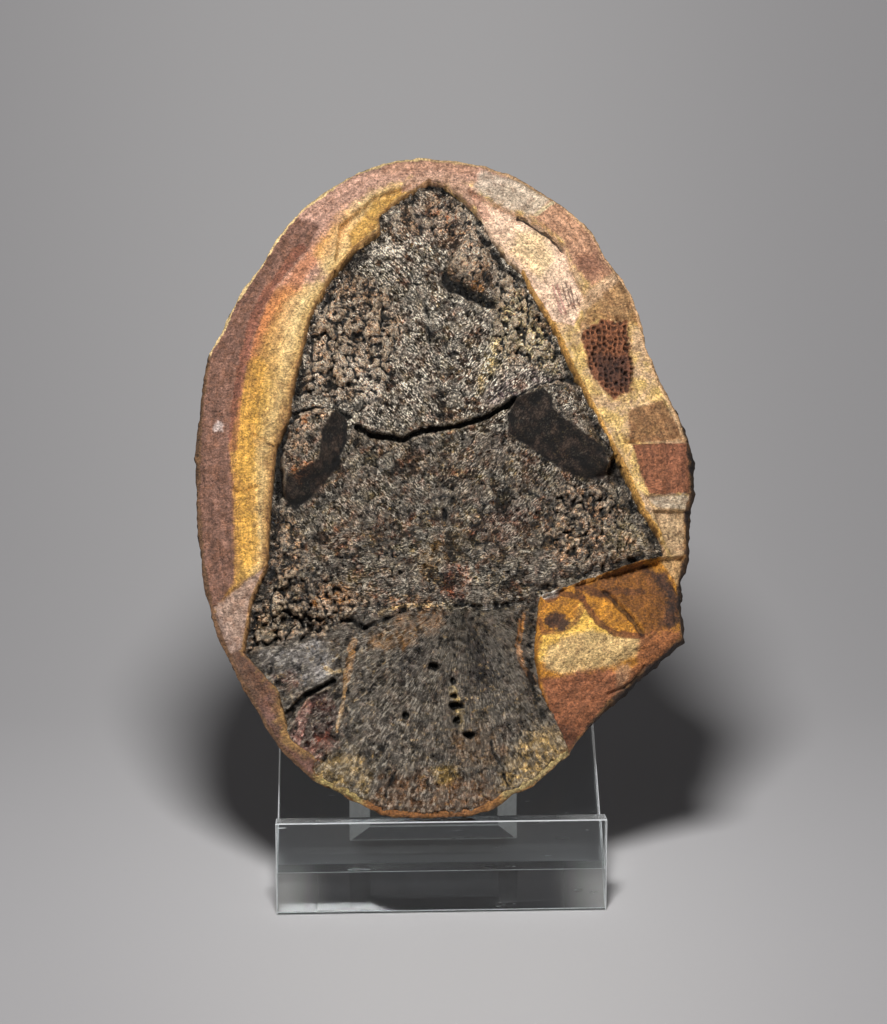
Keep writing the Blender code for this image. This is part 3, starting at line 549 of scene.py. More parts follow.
# Distance into each zone and each stain, which the material turns into ragged masks
def writePaint(mesh, a, b, zones, stains):
    for name, zone in zones.items():
        writeMask(mesh, name, np.clip(depthInside(a, b, zone[0]), -6.0, 6.0))
    for name, stain in stains.items():
        writeMask(mesh, name, np.clip(stain[1] - pathDistance(a, b, stain[0]), -6.0, 6.0))


def meshPoints(mesh):
    points = np.empty(3 * len(mesh.vertices), np.float32)
    mesh.vertices.foreach_get("co", points)
    return points.reshape(-1, 3).astype(float)


def addObject(name, data):
    made = bpy.data.objects.new(name, data)
    bpy.context.scene.collection.objects.link(made)
    return made


# A piece on the face is turned into place in its mesh, so that its box fits it closely
def addPiece(name, mesh, replaced, place=None):
    piece = addObject(name, mesh)
    if place is None:
        mesh.transform(facePlace)
    else:
        piece.matrix_world = place
    mesh.shade_smooth()
    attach(piece, "root")
    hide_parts(replaced)


# Colours are as they look by daylight, 0 to 255. Each zone: outline, colour, how soft and how
# ragged its edge is in millimetres, and how strongly it covers
stonePaint = {
    "mauveTop": ([(-45, 116), (-38, 130), (-22, 146), (0, 152), (16, 149), (24, 143), (13, 140.5),
        (6, 141.5), (1, 143.2), (-5, 142.4), (-13, 139.6), (-20, 134.5), (-27.5, 126), (-24, 119),
        (-30, 117)], (202, 158, 138), 1.6, 1.4, 0.95),
    "orangeFlush": ([(-33.6, 118), (-28.7, 125.4), (-26.2, 123.9), (-29.8, 117.1), (-34, 111.7),
        (-38.2, 104.6), (-41.4, 98), (-42.2, 101.4), (-39.8, 108.9)], (214, 132, 78), 1.2, 1.6, 0.6),
    "brownTop": ([(-12, 143.4), (-10, 152), (12, 152), (11, 144), (6, 143.2), (0, 144.6)],
        (184, 138, 110), 1.4, 1.2, 0.7),
    "purpleBand": ([(-25.6, 131.8), (-27.3, 126.9), (-32.8, 120.1), (-36, 116.3), (-39, 108.4),
        (-41, 100.3), (-42.4, 92.7), (-43.7, 89.3), (-44.8, 83.7), (-45.2, 78.9), (-44.7, 73.3),
        (-44.4, 65.7), (-44.2, 57.8), (-44.1, 50.1), (-47.9, 45.8), (-56, 42), (-60, 80), (-54, 108),
        (-44, 124), (-33.8, 134.6)], (134, 98, 82), 0.45, 0.7, 1),
    "lowerLeft": ([(-47.6, 45.6), (-42, 36), (-36, 28.5), (-33.6, 16), (-26, 12), (-28, 5), (-44, 14),
        (-56, 44)], (92, 66, 60), 1.2, 1.6, 0.9),
    "lowerPink": ([(-40, 24), (-35.6, 26.5), (-35, 17), (-29, 12.4), (-26, 11.4), (-30, 7.4), (-36, 14)],
        (128, 92, 80), 1, 1.2, 0.8),
    "pinkFacet": ([(-48.4, 45.3), (-37.2, 54), (-40.4, 46.8), (-42.3, 36), (-45.4, 35)], (172, 144, 128),
        0.5, 0.5, 0.95),
    "yellowStep": ([(-19, 130.4), (-12.8, 138.2), (-4.7, 140.8), (-8.9, 137.4), (-13.2, 130.4),
        (-18.8, 126)], (200, 156, 80), 0.7, 0.8, 0.95),
    "greyPatch": ([(9, 140), (11, 144.6), (19, 142.9), (27.2, 137.3), (23.1, 133.9), (17, 135.2)],
        (210, 190, 168), 0.8, 1, 0.9),
    "creamSlope": ([(8, 140), (19, 134.2), (25.1, 131.2), (29.5, 126.4), (31, 120), (34, 114), (31, 108),
        (25, 109.2), (19, 121), (12.4, 129)], (242, 208, 180), 0.5, 0.8, 0.9),
    "yellowCream": ([(19, 131), (25, 130.4), (27, 124), (24.4, 119), (21.4, 122), (17, 126)],
        (248, 218, 160), 1.2, 1.4, 0.6),
    "brownFacet": ([(22.6, 133.4), (27.3, 138.4), (34.4, 133), (41, 121), (35.3, 116.9), (30.7, 122.6),
        (29.3, 127.6)], (204, 154, 122), 0.5, 0.6, 0.95),
    "brownFacetDark": ([(31.6, 124), (36.6, 125.6), (38.6, 121.2), (35.4, 118.2), (32.4, 120.6)],
        (142, 96, 76), 1.4, 1, 0.8),
    "facetRidge": ([(41, 120.6), (42.4, 118.4), (33.4, 111), (31.6, 112.6), (36, 117.2)], (222, 184, 146),
        0.5, 0.5, 0.9),
    "oliveFacet": ([(34, 111.6), (41.6, 118.6), (46, 113), (47, 108.6), (37.3, 109.7), (33.4, 107.6)],
        (164, 124, 80), 0.7, 0.8, 0.9),
    "spongyBone": ([(32.4, 106.2), (37.3, 109.3), (43, 109.3), (43.8, 97.5), (42.9, 92.6), (39.2, 90.6),
        (34.7, 95.6)], (154, 98, 66), 0.5, 0.9, 1),
    "spongyDark": ([(35, 101), (43, 101), (43.4, 94), (39.6, 92.6), (35.6, 96)], (84, 58, 50), 1.4, 1.2,
        0.85),
    "oliveBrown": ([(42.4, 88.3), (50.3, 90.6), (54.9, 81.6), (42.6, 80.9)], (148, 108, 70), 0.5, 0.6,
        0.95),
    "redFacet": ([(42.9, 80.6), (56.5, 80.9), (57, 69.6), (46.2, 69)], (140, 86, 60), 0.35, 0.4, 0.98),
    "greyLedge": ([(46, 68.9), (56.5, 69.5), (55.4, 65.6), (48.2, 66.2)], (176, 160, 138), 0.4, 0.5, 0.9),
    "peachHollow": ([(46.6, 65.9), (55.2, 65.9), (54.6, 56.5), (50.9, 55.6)], (198, 166, 126), 0.5, 0.6,
        0.9),
    "lowerHollow": ([(48.4, 55.1), (54.4, 55.6), (53, 48), (51.4, 47)], (200, 158, 104), 0.5, 0.6, 0.9),
    "wedgeGold": ([(20, 48), (31.9, 51.6), (47.9, 56.1), (54, 47), (58, 38), (42, 22), (28.6, 8),
        (21, 26.5), (19.6, 35)], (190, 128, 42), 0.4, 0.4, 1),
    "wedgeBrown": ([(31.4, 49.4), (35.2, 51.4), (44, 55), (50, 51), (53, 44), (50.4, 39.6), (45, 38),
        (42.2, 42.6), (38.8, 46), (34, 46.8)], (118, 72, 28), 0.8, 0.9, 0.9),
    "wedgeDark": ([(45.4, 53.4), (50.4, 52), (52.6, 44), (51, 38.6), (48, 40.4), (49.4, 46)],
        (44, 32, 28), 1.2, 1.6, 0.95),
    "wedgeBright": ([(22, 38.4), (26.2, 39.9), (29.5, 42.3), (31.2, 45.9), (33.2, 42.9), (36.2, 39.8),
        (40, 37.8), (32.6, 36.3), (26.2, 34.4), (21, 32.5)], (244, 194, 90), 0.6, 0.6, 1),
    "wedgeCream": ([(22.4, 35), (27.2, 38.2), (32.7, 39.3), (37.4, 38.1), (44, 37.4), (42.6, 33.8),
        (36.8, 31.6), (31.3, 30.3), (25.9, 29.7), (22.2, 31.1)], (216, 182, 124), 0.9, 0.9, 0.95),
    "wedgeRed": ([(21.4, 29), (26, 29.4), (31.3, 30.6), (36, 31), (40, 30), (40, 22), (29.4, 9),
        (23, 22)], (152, 94, 64), 0.9, 1, 0.95),
    "wedgeRust": ([(43, 38.2), (50.5, 39.4), (55, 38.4), (47, 30), (41, 25), (38.4, 28), (42, 32)],
        (148, 90, 54), 0.9, 1, 0.9),
    "wedgeGrey": ([(37.6, 31.2), (41.2, 32.6), (40.6, 28.6), (38.2, 26)], (170, 130, 96), 0.7, 0.8, 0.8),
    "wedgeFoot": ([(24.4, 19), (28, 19.6), (31, 14.6), (27.6, 10)], (80, 46, 30), 1, 1, 0.7),
    "calcite": ([(22, 47.4), (23, 49.2), (25.2, 49.9), (26.9, 49.4), (26, 47.2), (23.4, 46.4)],
        (240, 234, 222), 0.25, 0.4, 1),
    "whiteSpot": ([(-49, 84.4), (-47.8, 86.4), (-46.4, 85.6), (-46.8, 84)], (226, 206, 196), 0.4, 0.7,
        0.9),
    "baseOlive": ([(-28.4, 7), (-23.4, 12.6), (-19, 12.8), (-15.6, 9), (-17, 2)], (178, 158, 100), 1, 1.2,
        0.85),
    "baseRust": ([(-17, 1), (-14, 6), (0, 5.6), (10, 6), (14, 4), (8, -3), (-10, -3)], (150, 96, 48), 1,
        1.4, 0.9),
    "baseRight": ([(13, 3), (12.6, 7), (17, 15), (24, 17), (29, 12), (22, 5)], (182, 162, 110), 1, 1.2,
        0.85),
}
# Thin stains: path, width, colour, strength
stoneStains = {
    "tipMauve": ([(-5.4, 141), (-0.6, 143.5), (3.6, 142.7), (8.2, 139), (11.8, 135.2)], 1.6,
        (202, 160, 136), 0.9),
    "goldHem": (skullOutline[6:15], 0.45, (212, 158, 78), 0.9),
    "brownHemLeft": (skullOutline[29:] + skullOutline[:1], 0.3, (156, 114, 66), 0.7),
    "stainArc": ([(31.4, 46.6), (32.4, 44), (34.9, 40.4), (38.1, 38.4), (43.4, 37.9)], 0.7, (112, 62, 30),
        0.9),
    "stainRing": ([(23.8, 46.3), (26.8, 47.9), (29.9, 47.1), (31.4, 46.6), (30.4, 48.9)], 0.7,
        (96, 54, 28), 0.8),
    "stainLobe": ([(21.6, 42), (22.4, 39), (26.1, 39.2), (29.4, 41.2), (31.4, 44.6)], 0.6, (128, 76, 34),
        0.7),
    "stainTop": ([(29.6, 50.4), (32.4, 48.6), (35.4, 47.6), (39, 48.2), (44.4, 47.8)], 0.8, (84, 50, 26),
        0.75),
    "stainSpot": ([(24.8, 41.6), (26.6, 41.2)], 1.7, (52, 36, 32), 0.95),
    "goldGlow": ([(-39.6, 98), (-41, 90), (-42, 80), (-41.6, 66), (-41, 56)], 2.2, (226, 168, 70), 0.55),
    "redFringe": ([(-29.8, 126.2), (-34.3, 119.9), (-38.2, 114), (-40.8, 107.1), (-42.3, 100.2),
        (-43.6, 91), (-44.6, 80)], 1, (150, 88, 66), 0.6),
    "pinkStreak": ([(26.6, 117.7), (28.4, 111.1)], 0.3, (206, 150, 138), 0.7),
    "pinkStreakTwo": ([(27.6, 117.9), (29.4, 110.9)], 0.3, (198, 140, 128), 0.7),
    "darkStreakOne": ([(28.9, 117.2), (29.9, 113.6), (30.1, 112.6)], 0.2, (98, 64, 60), 0.75),
    "darkStreakTwo": ([(29.6, 118.4), (30.3, 115.2), (30.9, 112.2)], 0.2, (98, 64, 60), 0.75),
    "darkStreakThree": ([(30.6, 117.8), (31, 114.8), (31.7, 111.4)], 0.2, (98, 64, 60), 0.75),
    "darkStreakFour": ([(31.6, 116), (32.4, 112.8)], 0.2, (98, 64, 60), 0.75),
    "rimCrackShade": (stoneLines["rim crack"][0], 0.3, (58, 40, 32), 0.85),
    "rimGold": (faceOutline[41:] + faceOutline[:2], 0.5, (232, 200, 142), 0.9),
    "rimCream": (faceOutline[:12], 0.7, (222, 178, 132), 0.6),
    "rimBrown": (faceOutline[33:42], 0.7, (112, 82, 58), 0.8),
    "paleVein": ([(23.4, 134), (27, 136.8)], 0.5, (232, 214, 170), 0.8),
}
stoneBody = {
    "cells": (340, 450, 22),     # across, up, deep, before plain parts are thinned out
    "kept": 196000,              # triangles left
    "sideEnd": 0.6,              # share of the rim's size where the side ends and the back starts
    "underBone": 3.0, "clear": 0.8,
}


def rimRadius(angle):
    across, up = np.transpose(faceOutline) - np.array(faceSettings["middle"])[:, None]
    angles = np.arctan2(up, across)
    order = np.argsort(angles)
    radius = np.interp(angle, angles[order], np.hypot(across, up)[order], period=2.0 * math.pi)
    rimA, rimB = radius * np.cos(angle), radius * np.sin(angle)
    chips = faceSettings["rimChips"] * layeredNoise(rimA, rimB, 7.0, 2, 51)
    nicks = faceSettings["rimNicks"] * layeredNoise(rimA, rimB, 1.9, 2, 52)
    return radius + chips + nicks - 0.1


# The stone is fullest low on the right; angles in degrees up from the right
def girdleBulge(angle):
    right = smoothStep(angle, math.radians(-75), math.radians(-45))
    right *= 1.0 - smoothStep(angle, math.radians(8), math.radians(24))
    least = faceSettings["leastBulge"]
    return least + (faceSettings["girdleBulge"] - least) * right


# Moves the points of a cube from -1 to 1 (front at v = -1) to the stone's face, side and back
def shapeStone(u, v, w):
    f = faceSettings
    diskA, diskB = u * np.sqrt(1.0 - w * w / 2.0), w * np.sqrt(1.0 - u * u / 2.0)
    ring, angle = np.hypot(diskA, diskB), np.arctan2(diskB, diskA)
    front, back = v < -1.0 + 1e-6, v > 1.0 - 1e-6
    turn, sideEnd = (v + 1.0) / 2.0, stoneBody["sideEnd"]
    spread = np.cos(turn * math.acos(sideEnd))
    spread = np.where(back, ring * sideEnd, np.where(front, ring, spread))
    rim = rimRadius(angle)
    a = f["middle"][0] + spread * rim * np.cos(angle)
    b = f["middle"][1] + spread * rim * np.sin(angle)
    h = np.zeros(a.shape)

    # The face, which dives under the bone inside the skull's edge
    cell = f["width"] / stoneBody["cells"][0]
    inside = front & (ring < 0.999)
    pulledA, pulledB = pullOnto(a[inside], b[inside], skullRegion, 0.55 * cell)
    a[inside], b[inside] = pulledA, pulledB
    region = skullRegion(a[front], b[front])
    dive = stoneBody["underBone"] * (1.0 + smoothStep(region, 1.0, 6.0))
    hidden = boneBase(a[front], b[front]) - dive
    shown = stoneFace(a[front], b[front])
    share = smoothStep(region, 0.05, 0.05 + 1.6 * cell)
    h[front] = shown * (1.0 - share) + np.minimum(hidden, shown - stoneBody["clear"]) * share

    # The side and the back
    rest = ~front
    edgeA = f["middle"][0] + rim[rest] * np.cos(angle[rest])
    edgeB = f["middle"][1] + rim[rest] * np.sin(angle[rest])
    edge = stoneFace(edgeA, edgeB) * (1.0 - turn[rest]) ** 2
    power = f["domeSharpness"] - f["topFullness"] * np.sin(angle[rest])
    depth = f["domeDepth"] * (1.0 - spread[rest] ** 2) ** power
    fall = depth / f["girdleDepth"]
    swell = girdleBulge(angle[rest]) * fall * np.exp(1.0 - fall)
    rough = smoothStep(depth, 0.5, 5.0)
    sideA, sideB = a[rest] + 2.0 * depth, b[rest] - depth
    bumps = f["backBumps"] * rough * layeredNoise(sideA, sideB, 24.0, 4, 61)
    crust = f["backCrust"] * smoothStep(depth, 0.2, 1.6) * (
        layeredNoise(sideA, sideB, 3.6, 3, 62) + 0.8 * knobs(sideA, sideB, 2.6, 63) - 0.6)
    a[rest] += (swell + bumps + crust) * np.cos(angle[rest])
    b[rest] += (swell + bumps + crust) * np.sin(angle[rest])
    h[rest] = edge - depth + bumps + crust * smoothStep(depth, 8.0, 24.0)
    return a, b, h


# A cube whose faces are cut into a fine grid, as points and four-cornered faces
def cubeGrid(across, up, deep):
    counts = (across, deep, up)
    points, faces, start = [], [], 0
    for axis in range(3):
        one, two = [k for k in range(3) if k != axis]
        first = np.linspace(-1.0, 1.0, counts[one] + 1)
        second = np.linspace(-1.0, 1.0, counts[two] + 1)
        gridOne, gridTwo = np.meshgrid(first, second, indexing="ij")
        for side in (-1.0, 1.0):
            block = np.empty((gridOne.size, 3))
            block[:, axis] = side
            block[:, one], block[:, two] = gridOne.ravel(), gridTwo.ravel()
            index = np.arange(gridOne.size).reshape(gridOne.shape) + start
            quads = np.stack((index[:-1, :-1], index[1:, :-1], index[1:, 1:], index[:-1, 1:]), -1)
            quads = quads.reshape(-1, 4)
            outward = (side > 0.0) == (axis != 1)
            faces.append(quads if outward else quads[:, ::-1])
            points.append(block)
            start += gridOne.size
    points = np.concatenate(points)
    keys = np.round((points + 1.0) * 4096.0).astype(np.int64)
    code = (keys[:, 0] * 16384 + keys[:, 1]) * 16384 + keys[:, 2]
    _, first, back = np.unique(code, return_index=True, return_inverse=True)
    return points[first], back[np.concatenate(faces)]


def meshFrom(name, points, faces):
    mesh = bpy.data.meshes.new(name)
    mesh.vertices.add(len(points))
    mesh.vertices.foreach_set("co", np.asarray(points, np.float32).ravel())
    corners = faces.shape[1]
    mesh.loops.add(faces.size)
    mesh.loops.foreach_set("vertex_index", faces.astype(np.int32).ravel())
    mesh.polygons.add(len(faces))
    mesh.polygons.foreach_set("loop_start", np.arange(0, faces.size, corners, dtype=np.int32))
    mesh.update(calc_edges=True)
    mesh.validate()
    return mesh


def thinOut(mesh, kept):
    worker = addObject(mesh.name + "_worker", mesh)
    thin = worker.modifiers.new("thin out", "DECIMATE")
    thin.ratio = kept / (2.0 * len(mesh.polygons))
    graph = bpy.context.evaluated_depsgraph_get()
    thinned = bpy.data.meshes.new_from_object(worker.evaluated_get(graph))
    bpy.data.objects.remove(worker)
    return thinned


def makeStone(material):
    cube, faces = cubeGrid(*stoneBody["cells"])
    a, b, h = shapeStone(*cube.T)
    mesh = meshFrom("stone", np.column_stack((a, -h, b)) * mm, faces)
    mesh = thinOut(mesh, stoneBody["kept"])
    mesh.name = "stone"
    a, h, b = meshPoints(mesh).T / mm
    h = -h
    fromEdge, inSkull = depthInside(a, b, faceOutline), depthInside(a, b, skullOutline)
    normals = np.empty(3 * len(mesh.vertices), np.float32)
    mesh.vertices.foreach_get("normal", normals)
    facing = -normals.reshape(-1, 3)[:, 1]
    rind = np.maximum(-(fromEdge - 0.25), np.where((facing < 0.25) & (fromEdge < 4.0), 1.5, -9.0))
    rind = np.where(h < -9.0, 3.0, rind)
    relief = np.where(inSkull < 0.0, np.clip(h - stoneLevel(a, b), -1.5, 1.5), 0.0)
    toBand = np.maximum(-depthInside(a, b, stonePaint["purpleBand"][0]), 0.0)
    bandShare = np.clip(-inSkull / (toBand + np.abs(inSkull) + 0.01), 0.0, 1.0)
    masks = {"rind": np.clip(rind, -3.0, 3.0), "inSkull": inSkull, "fromRim": fromEdge,
             "relief": relief, "bandShare": bandShare}
    for key, values in masks.items():
        writeMask(mesh, key, values)
    writePaint(mesh, a, b, stonePaint, stoneStains)
    mesh.materials.append(material)
    addPiece("stone", mesh, "skull_nodule")


bonePaint = {
    "bossShade": ([(2.6, 121), (3.4, 118.4), (6.4, 115.8), (9.6, 113.8), (12.8, 113.4), (13.2, 115.4),
        (10.4, 117.4), (7.4, 118.6), (4.6, 120.2)], (14, 12, 11), 0.3, 0.5, 0.93),
    "bossShadeRight": ([(12.8, 127.4), (14.8, 125), (17, 121.8), (15.6, 120.6), (13.8, 122.4),
        (13.2, 125)], (22, 19, 17), 0.4, 0.6, 0.85),
    "rimShade": ([(-3.6, 143.6), (1.1, 143), (5.4, 141.4), (8.8, 138.8), (12, 133.8), (15.2, 128.8),
        (14.2, 127.6), (11.2, 131.4), (8.2, 135.4), (4.8, 138.6), (0.6, 140.8), (-3.4, 141.4)],
        (24, 21, 20), 0.4, 0.8, 0.85),
    "darkSheet": ([(-21.3, 119.6), (-20.2, 122.9), (-18.2, 125.7), (-15, 127.6), (-11.9, 128.8),
        (-12.4, 126.2), (-15.1, 123.9), (-17.3, 121), (-19.3, 117.8)], (24, 21, 21), 0.6, 1.2, 0.9),
    # painted shade along the skull's left edge, below the stone's rim
    "darkEdgeShade": ([(-28.5, 100.1), (-27.1, 104.7), (-25.8, 108.9), (-24, 114), (-23.1, 113.1),
        (-24.5, 108), (-25.8, 103.4), (-27.1, 98.3)], (22, 19, 18), 0.5, 1, 0.8),
    "fanDarkLeft": ([(-10, 37.6), (-4, 39.3), (-2.4, 33.2), (-6.3, 26.8), (-9.3, 29.8)], (58, 52, 50),
        1.4, 2, 0.6),
    "fanDarkMiddle": ([(6.8, 40), (12.8, 38.7), (14.1, 30.9), (10.3, 24.5), (6.6, 28.8)], (54, 50, 50),
        1.2, 1.6, 0.6),
    "snoutRust": ([(-10, 139), (-4, 141.6), (3, 140), (9, 135), (13, 130), (8, 127), (-2, 129),
        (-11, 131)], (124, 92, 70), 1.6, 2, 0.6),
    "brownLumps": ([(-27, 116), (-21, 121), (-11, 118), (-7, 108), (-12, 94), (-20, 91.5), (-29, 94),
        (-28, 104)], (150, 122, 96), 2, 3, 0.65),
    "bossBrown": ([(4, 122), (8, 127), (13, 126), (13, 121), (17, 119), (17, 114), (12, 117), (8, 119)],
        (150, 122, 98), 1.4, 1.8, 0.65),
    "greenCrust": ([(14, 113), (20, 119), (26, 107), (29, 99), (20, 98), (13, 95), (11, 100), (14, 106)],
        (184, 166, 120), 1.8, 3, 0.7),
    "yellowCrust": ([(12, 101), (17, 104), (19, 100), (13, 96), (10, 93), (9, 96)], (170, 146, 96), 1,
        1.6, 0.7),
    "purpleSlab": (purpleSlab, (92, 78, 80), 0.6, 0.7, 0.7),
    "slabRust": ([(16.4, 95.4), (19, 96), (20.4, 93.8), (17.6, 93)], (136, 74, 30), 0.8, 0.9, 0.7),
    "orangePatch": ([(-25.6, 48.4), (-21.3, 50.4), (-17.6, 48.1), (-17.6, 45.5), (-21.3, 44.4),
        (-25.2, 44), (-27.7, 45.2)], (150, 98, 40), 0.8, 1, 0.75),
    "middleRust": ([(1.6, 54.6), (5.9, 54), (7.4, 49.7), (5.1, 46.4), (1.5, 47)], (118, 62, 38), 1, 1.4,
        0.7),
    "middleOchre": ([(-3.6, 57), (0.6, 60), (2.6, 56), (-1, 52), (-4.6, 53)], (112, 80, 30), 1.4, 1.6,
        0.55),
    "redGround": ([(10, 64), (17, 69), (21, 66), (17, 60), (12, 58)], (92, 62, 50), 1.6, 2, 0.6),
    "fanBrown": ([(-9.4, 46), (-1.8, 46.4), (1.4, 44), (0.2, 39.4), (-5.2, 38.6), (-9.5, 40.6)],
        (140, 102, 68), 1.4, 1.6, 0.7),
    "fanOrange": ([(-14.9, 39), (-9.5, 39.8), (-4.3, 38.2), (-7.5, 35.7), (-14.9, 36.1)], (150, 104, 52),
        1, 1.4, 0.6),
    "silver": ([(-40, 36), (-32, 36.4), (-25.6, 38), (-22.4, 33.6), (-22.9, 28.3), (-29.9, 28.2),
        (-36.2, 30.4)], (136, 132, 130), 1.4, 2, 0.65),
    "shellBrown": ([(-33.4, 16.6), (-30.2, 21.4), (-27.6, 26.2), (-23.4, 26.8), (-21.6, 22), (-24, 15.6),
        (-29, 13.4)], (72, 44, 38), 0.3, 0.4, 0.95),
    "shellMauve": ([(-31.9, 17.5), (-30.2, 22.8), (-28, 25.5), (-27.2, 23.8), (-28.9, 18.4), (-30, 15.4)],
        (150, 104, 92), 0.2, 0.3, 0.95),
    "shellRed": ([(-30, 14.8), (-24, 18.4), (-21.6, 15.4), (-26.6, 11.4)], (128, 66, 48), 0.9, 1.2, 0.8),
    "leftRust": ([(-36, 30.6), (-31.4, 31.6), (-29.9, 28.6), (-33.1, 26.8)], (126, 74, 54), 0.9, 1, 0.6),
    "leftOlive": ([(-39.8, 41.6), (-36, 46.6), (-32, 47.6), (-33, 41), (-37, 37)], (126, 110, 74), 1.4, 2,
        0.45),
    "rightOlive": ([(36, 62), (42.6, 66), (47, 58.6), (42, 56), (36.6, 56.4)], (130, 116, 80), 1.8, 2.4,
        0.55),
    "flangeLeftTint": ([(-29.9, 75.3), (-26.8, 76.4), (-27.3, 73.6), (-29.3, 73)], (160, 94, 44), 0.5,
        0.6, 0.85),
    "streakLeft": ([(-30.4, 84), (-28.4, 88.6), (-27.2, 88.4), (-28.8, 83.6)], (150, 92, 50), 0.6, 0.7,
        0.7),
    "baseOliveBone": ([(-28.4, 7), (-24, 13.4), (-18, 13.8), (-14.6, 9.6), (-16, 3)], (146, 120, 72), 1.4,
        1.8, 0.75),
    "baseRustBone": ([(-15, 2), (-13, 9), (-4, 9.4), (6, 8.6), (11, 8), (13.6, 4), (8, -3), (-10, -3)],
        (104, 68, 36), 1.8, 2.4, 0.8),
    "baseSpot": ([(-1.8, 10.2), (1.9, 11.2), (4, 8.8), (0.8, 6.4), (-1.6, 7.4)], (158, 128, 66), 0.8, 0.9,
        0.7),
    "baseRightBone": ([(11.6, 6), (15, 12.6), (19, 18.6), (24.4, 19), (29, 12), (22, 5)], (160, 130, 78),
        1.6, 2, 0.75),
    "baseBrown": ([(2, 17), (10, 19), (13, 13), (9, 10), (3, 11)], (110, 78, 44), 1.6, 2.2, 0.55),
}
boneStains = {
    "veinOrange": (boneLines["vein"][0][:3], 0.85, (160, 112, 56), 0.8),
    "veinThin": (boneLines["vein"][0][2:], 0.4, (160, 122, 74), 0.75),
    "veinPale": ([(-24.4, 32), (-22.7, 30.9), (-20.6, 31.4)], 0.5, (176, 146, 98), 0.7),
    "veinRight": (boneLines["right vein"][0], 0.6, (170, 110, 46), 0.8),
    "pitGold": ([(2.6, 27), (4, 22.6), (4.4, 18.6)], 0.75, (180, 150, 84), 0.65),
    "ledgeTan": ([(-13, 44), (-8, 45.4), (1, 45.4)], 0.4, (186, 154, 104), 0.6),
    "whiteCrust": ([(-19, 99.6), (-16.6, 96.6), (-14.6, 92.6)], 2.6, (206, 192, 176), 0.7),
    "whiteShoulder": ([(-13, 126.6), (-8, 126.2)], 1.5, (196, 184, 166), 0.55),
    "midLine": ([(-2, 114.6), (-1, 106), (0.6, 98), (2.1, 65.2), (3.1, 55.2), (4.6, 46.5)], 0.7,
        (28, 25, 22), 0.5),
    # painted shade: a dark band along the skull's edge where the stone's rim shades the moat, with its
    # dark border line
    "hem": (skullOutline[:17], 2.2, (38, 30, 26), 0.7),
    "hemShadeLeft": (skullOutline[29:] + skullOutline[:1], 2.4, (38, 30, 26), 0.7),
    "arcOrange": (boneLines["snout arc"][0], 0.9, (158, 96, 60), 0.7),
    "bossOrange": ([(9, 118), (10.6, 117.4)], 0.7, (196, 128, 50), 0.85),
    "splitOrange": ([(-30.8, 74.5), (-29.9, 72.7)], 0.8, (186, 110, 52), 0.8),
    "streakHigh": ([(-29.4, 88.2), (-28.9, 86), (-28.6, 84.4)], 0.6, (160, 100, 50), 0.7),
    "paleRidge": (boneLines["pale ridge"][0], 0.4, (150, 140, 124), 0.6),
}
bonePieces = {
    "skull_roof": {"cell": 0.253, "atBase": False},
    "skull_base": {"cell": 0.185, "atBase": True},
}
boneSkirt = {"overlap": 0.35, "inward": 3.0, "drop": 1.2, "level": -5.6, "slope": -0.03}


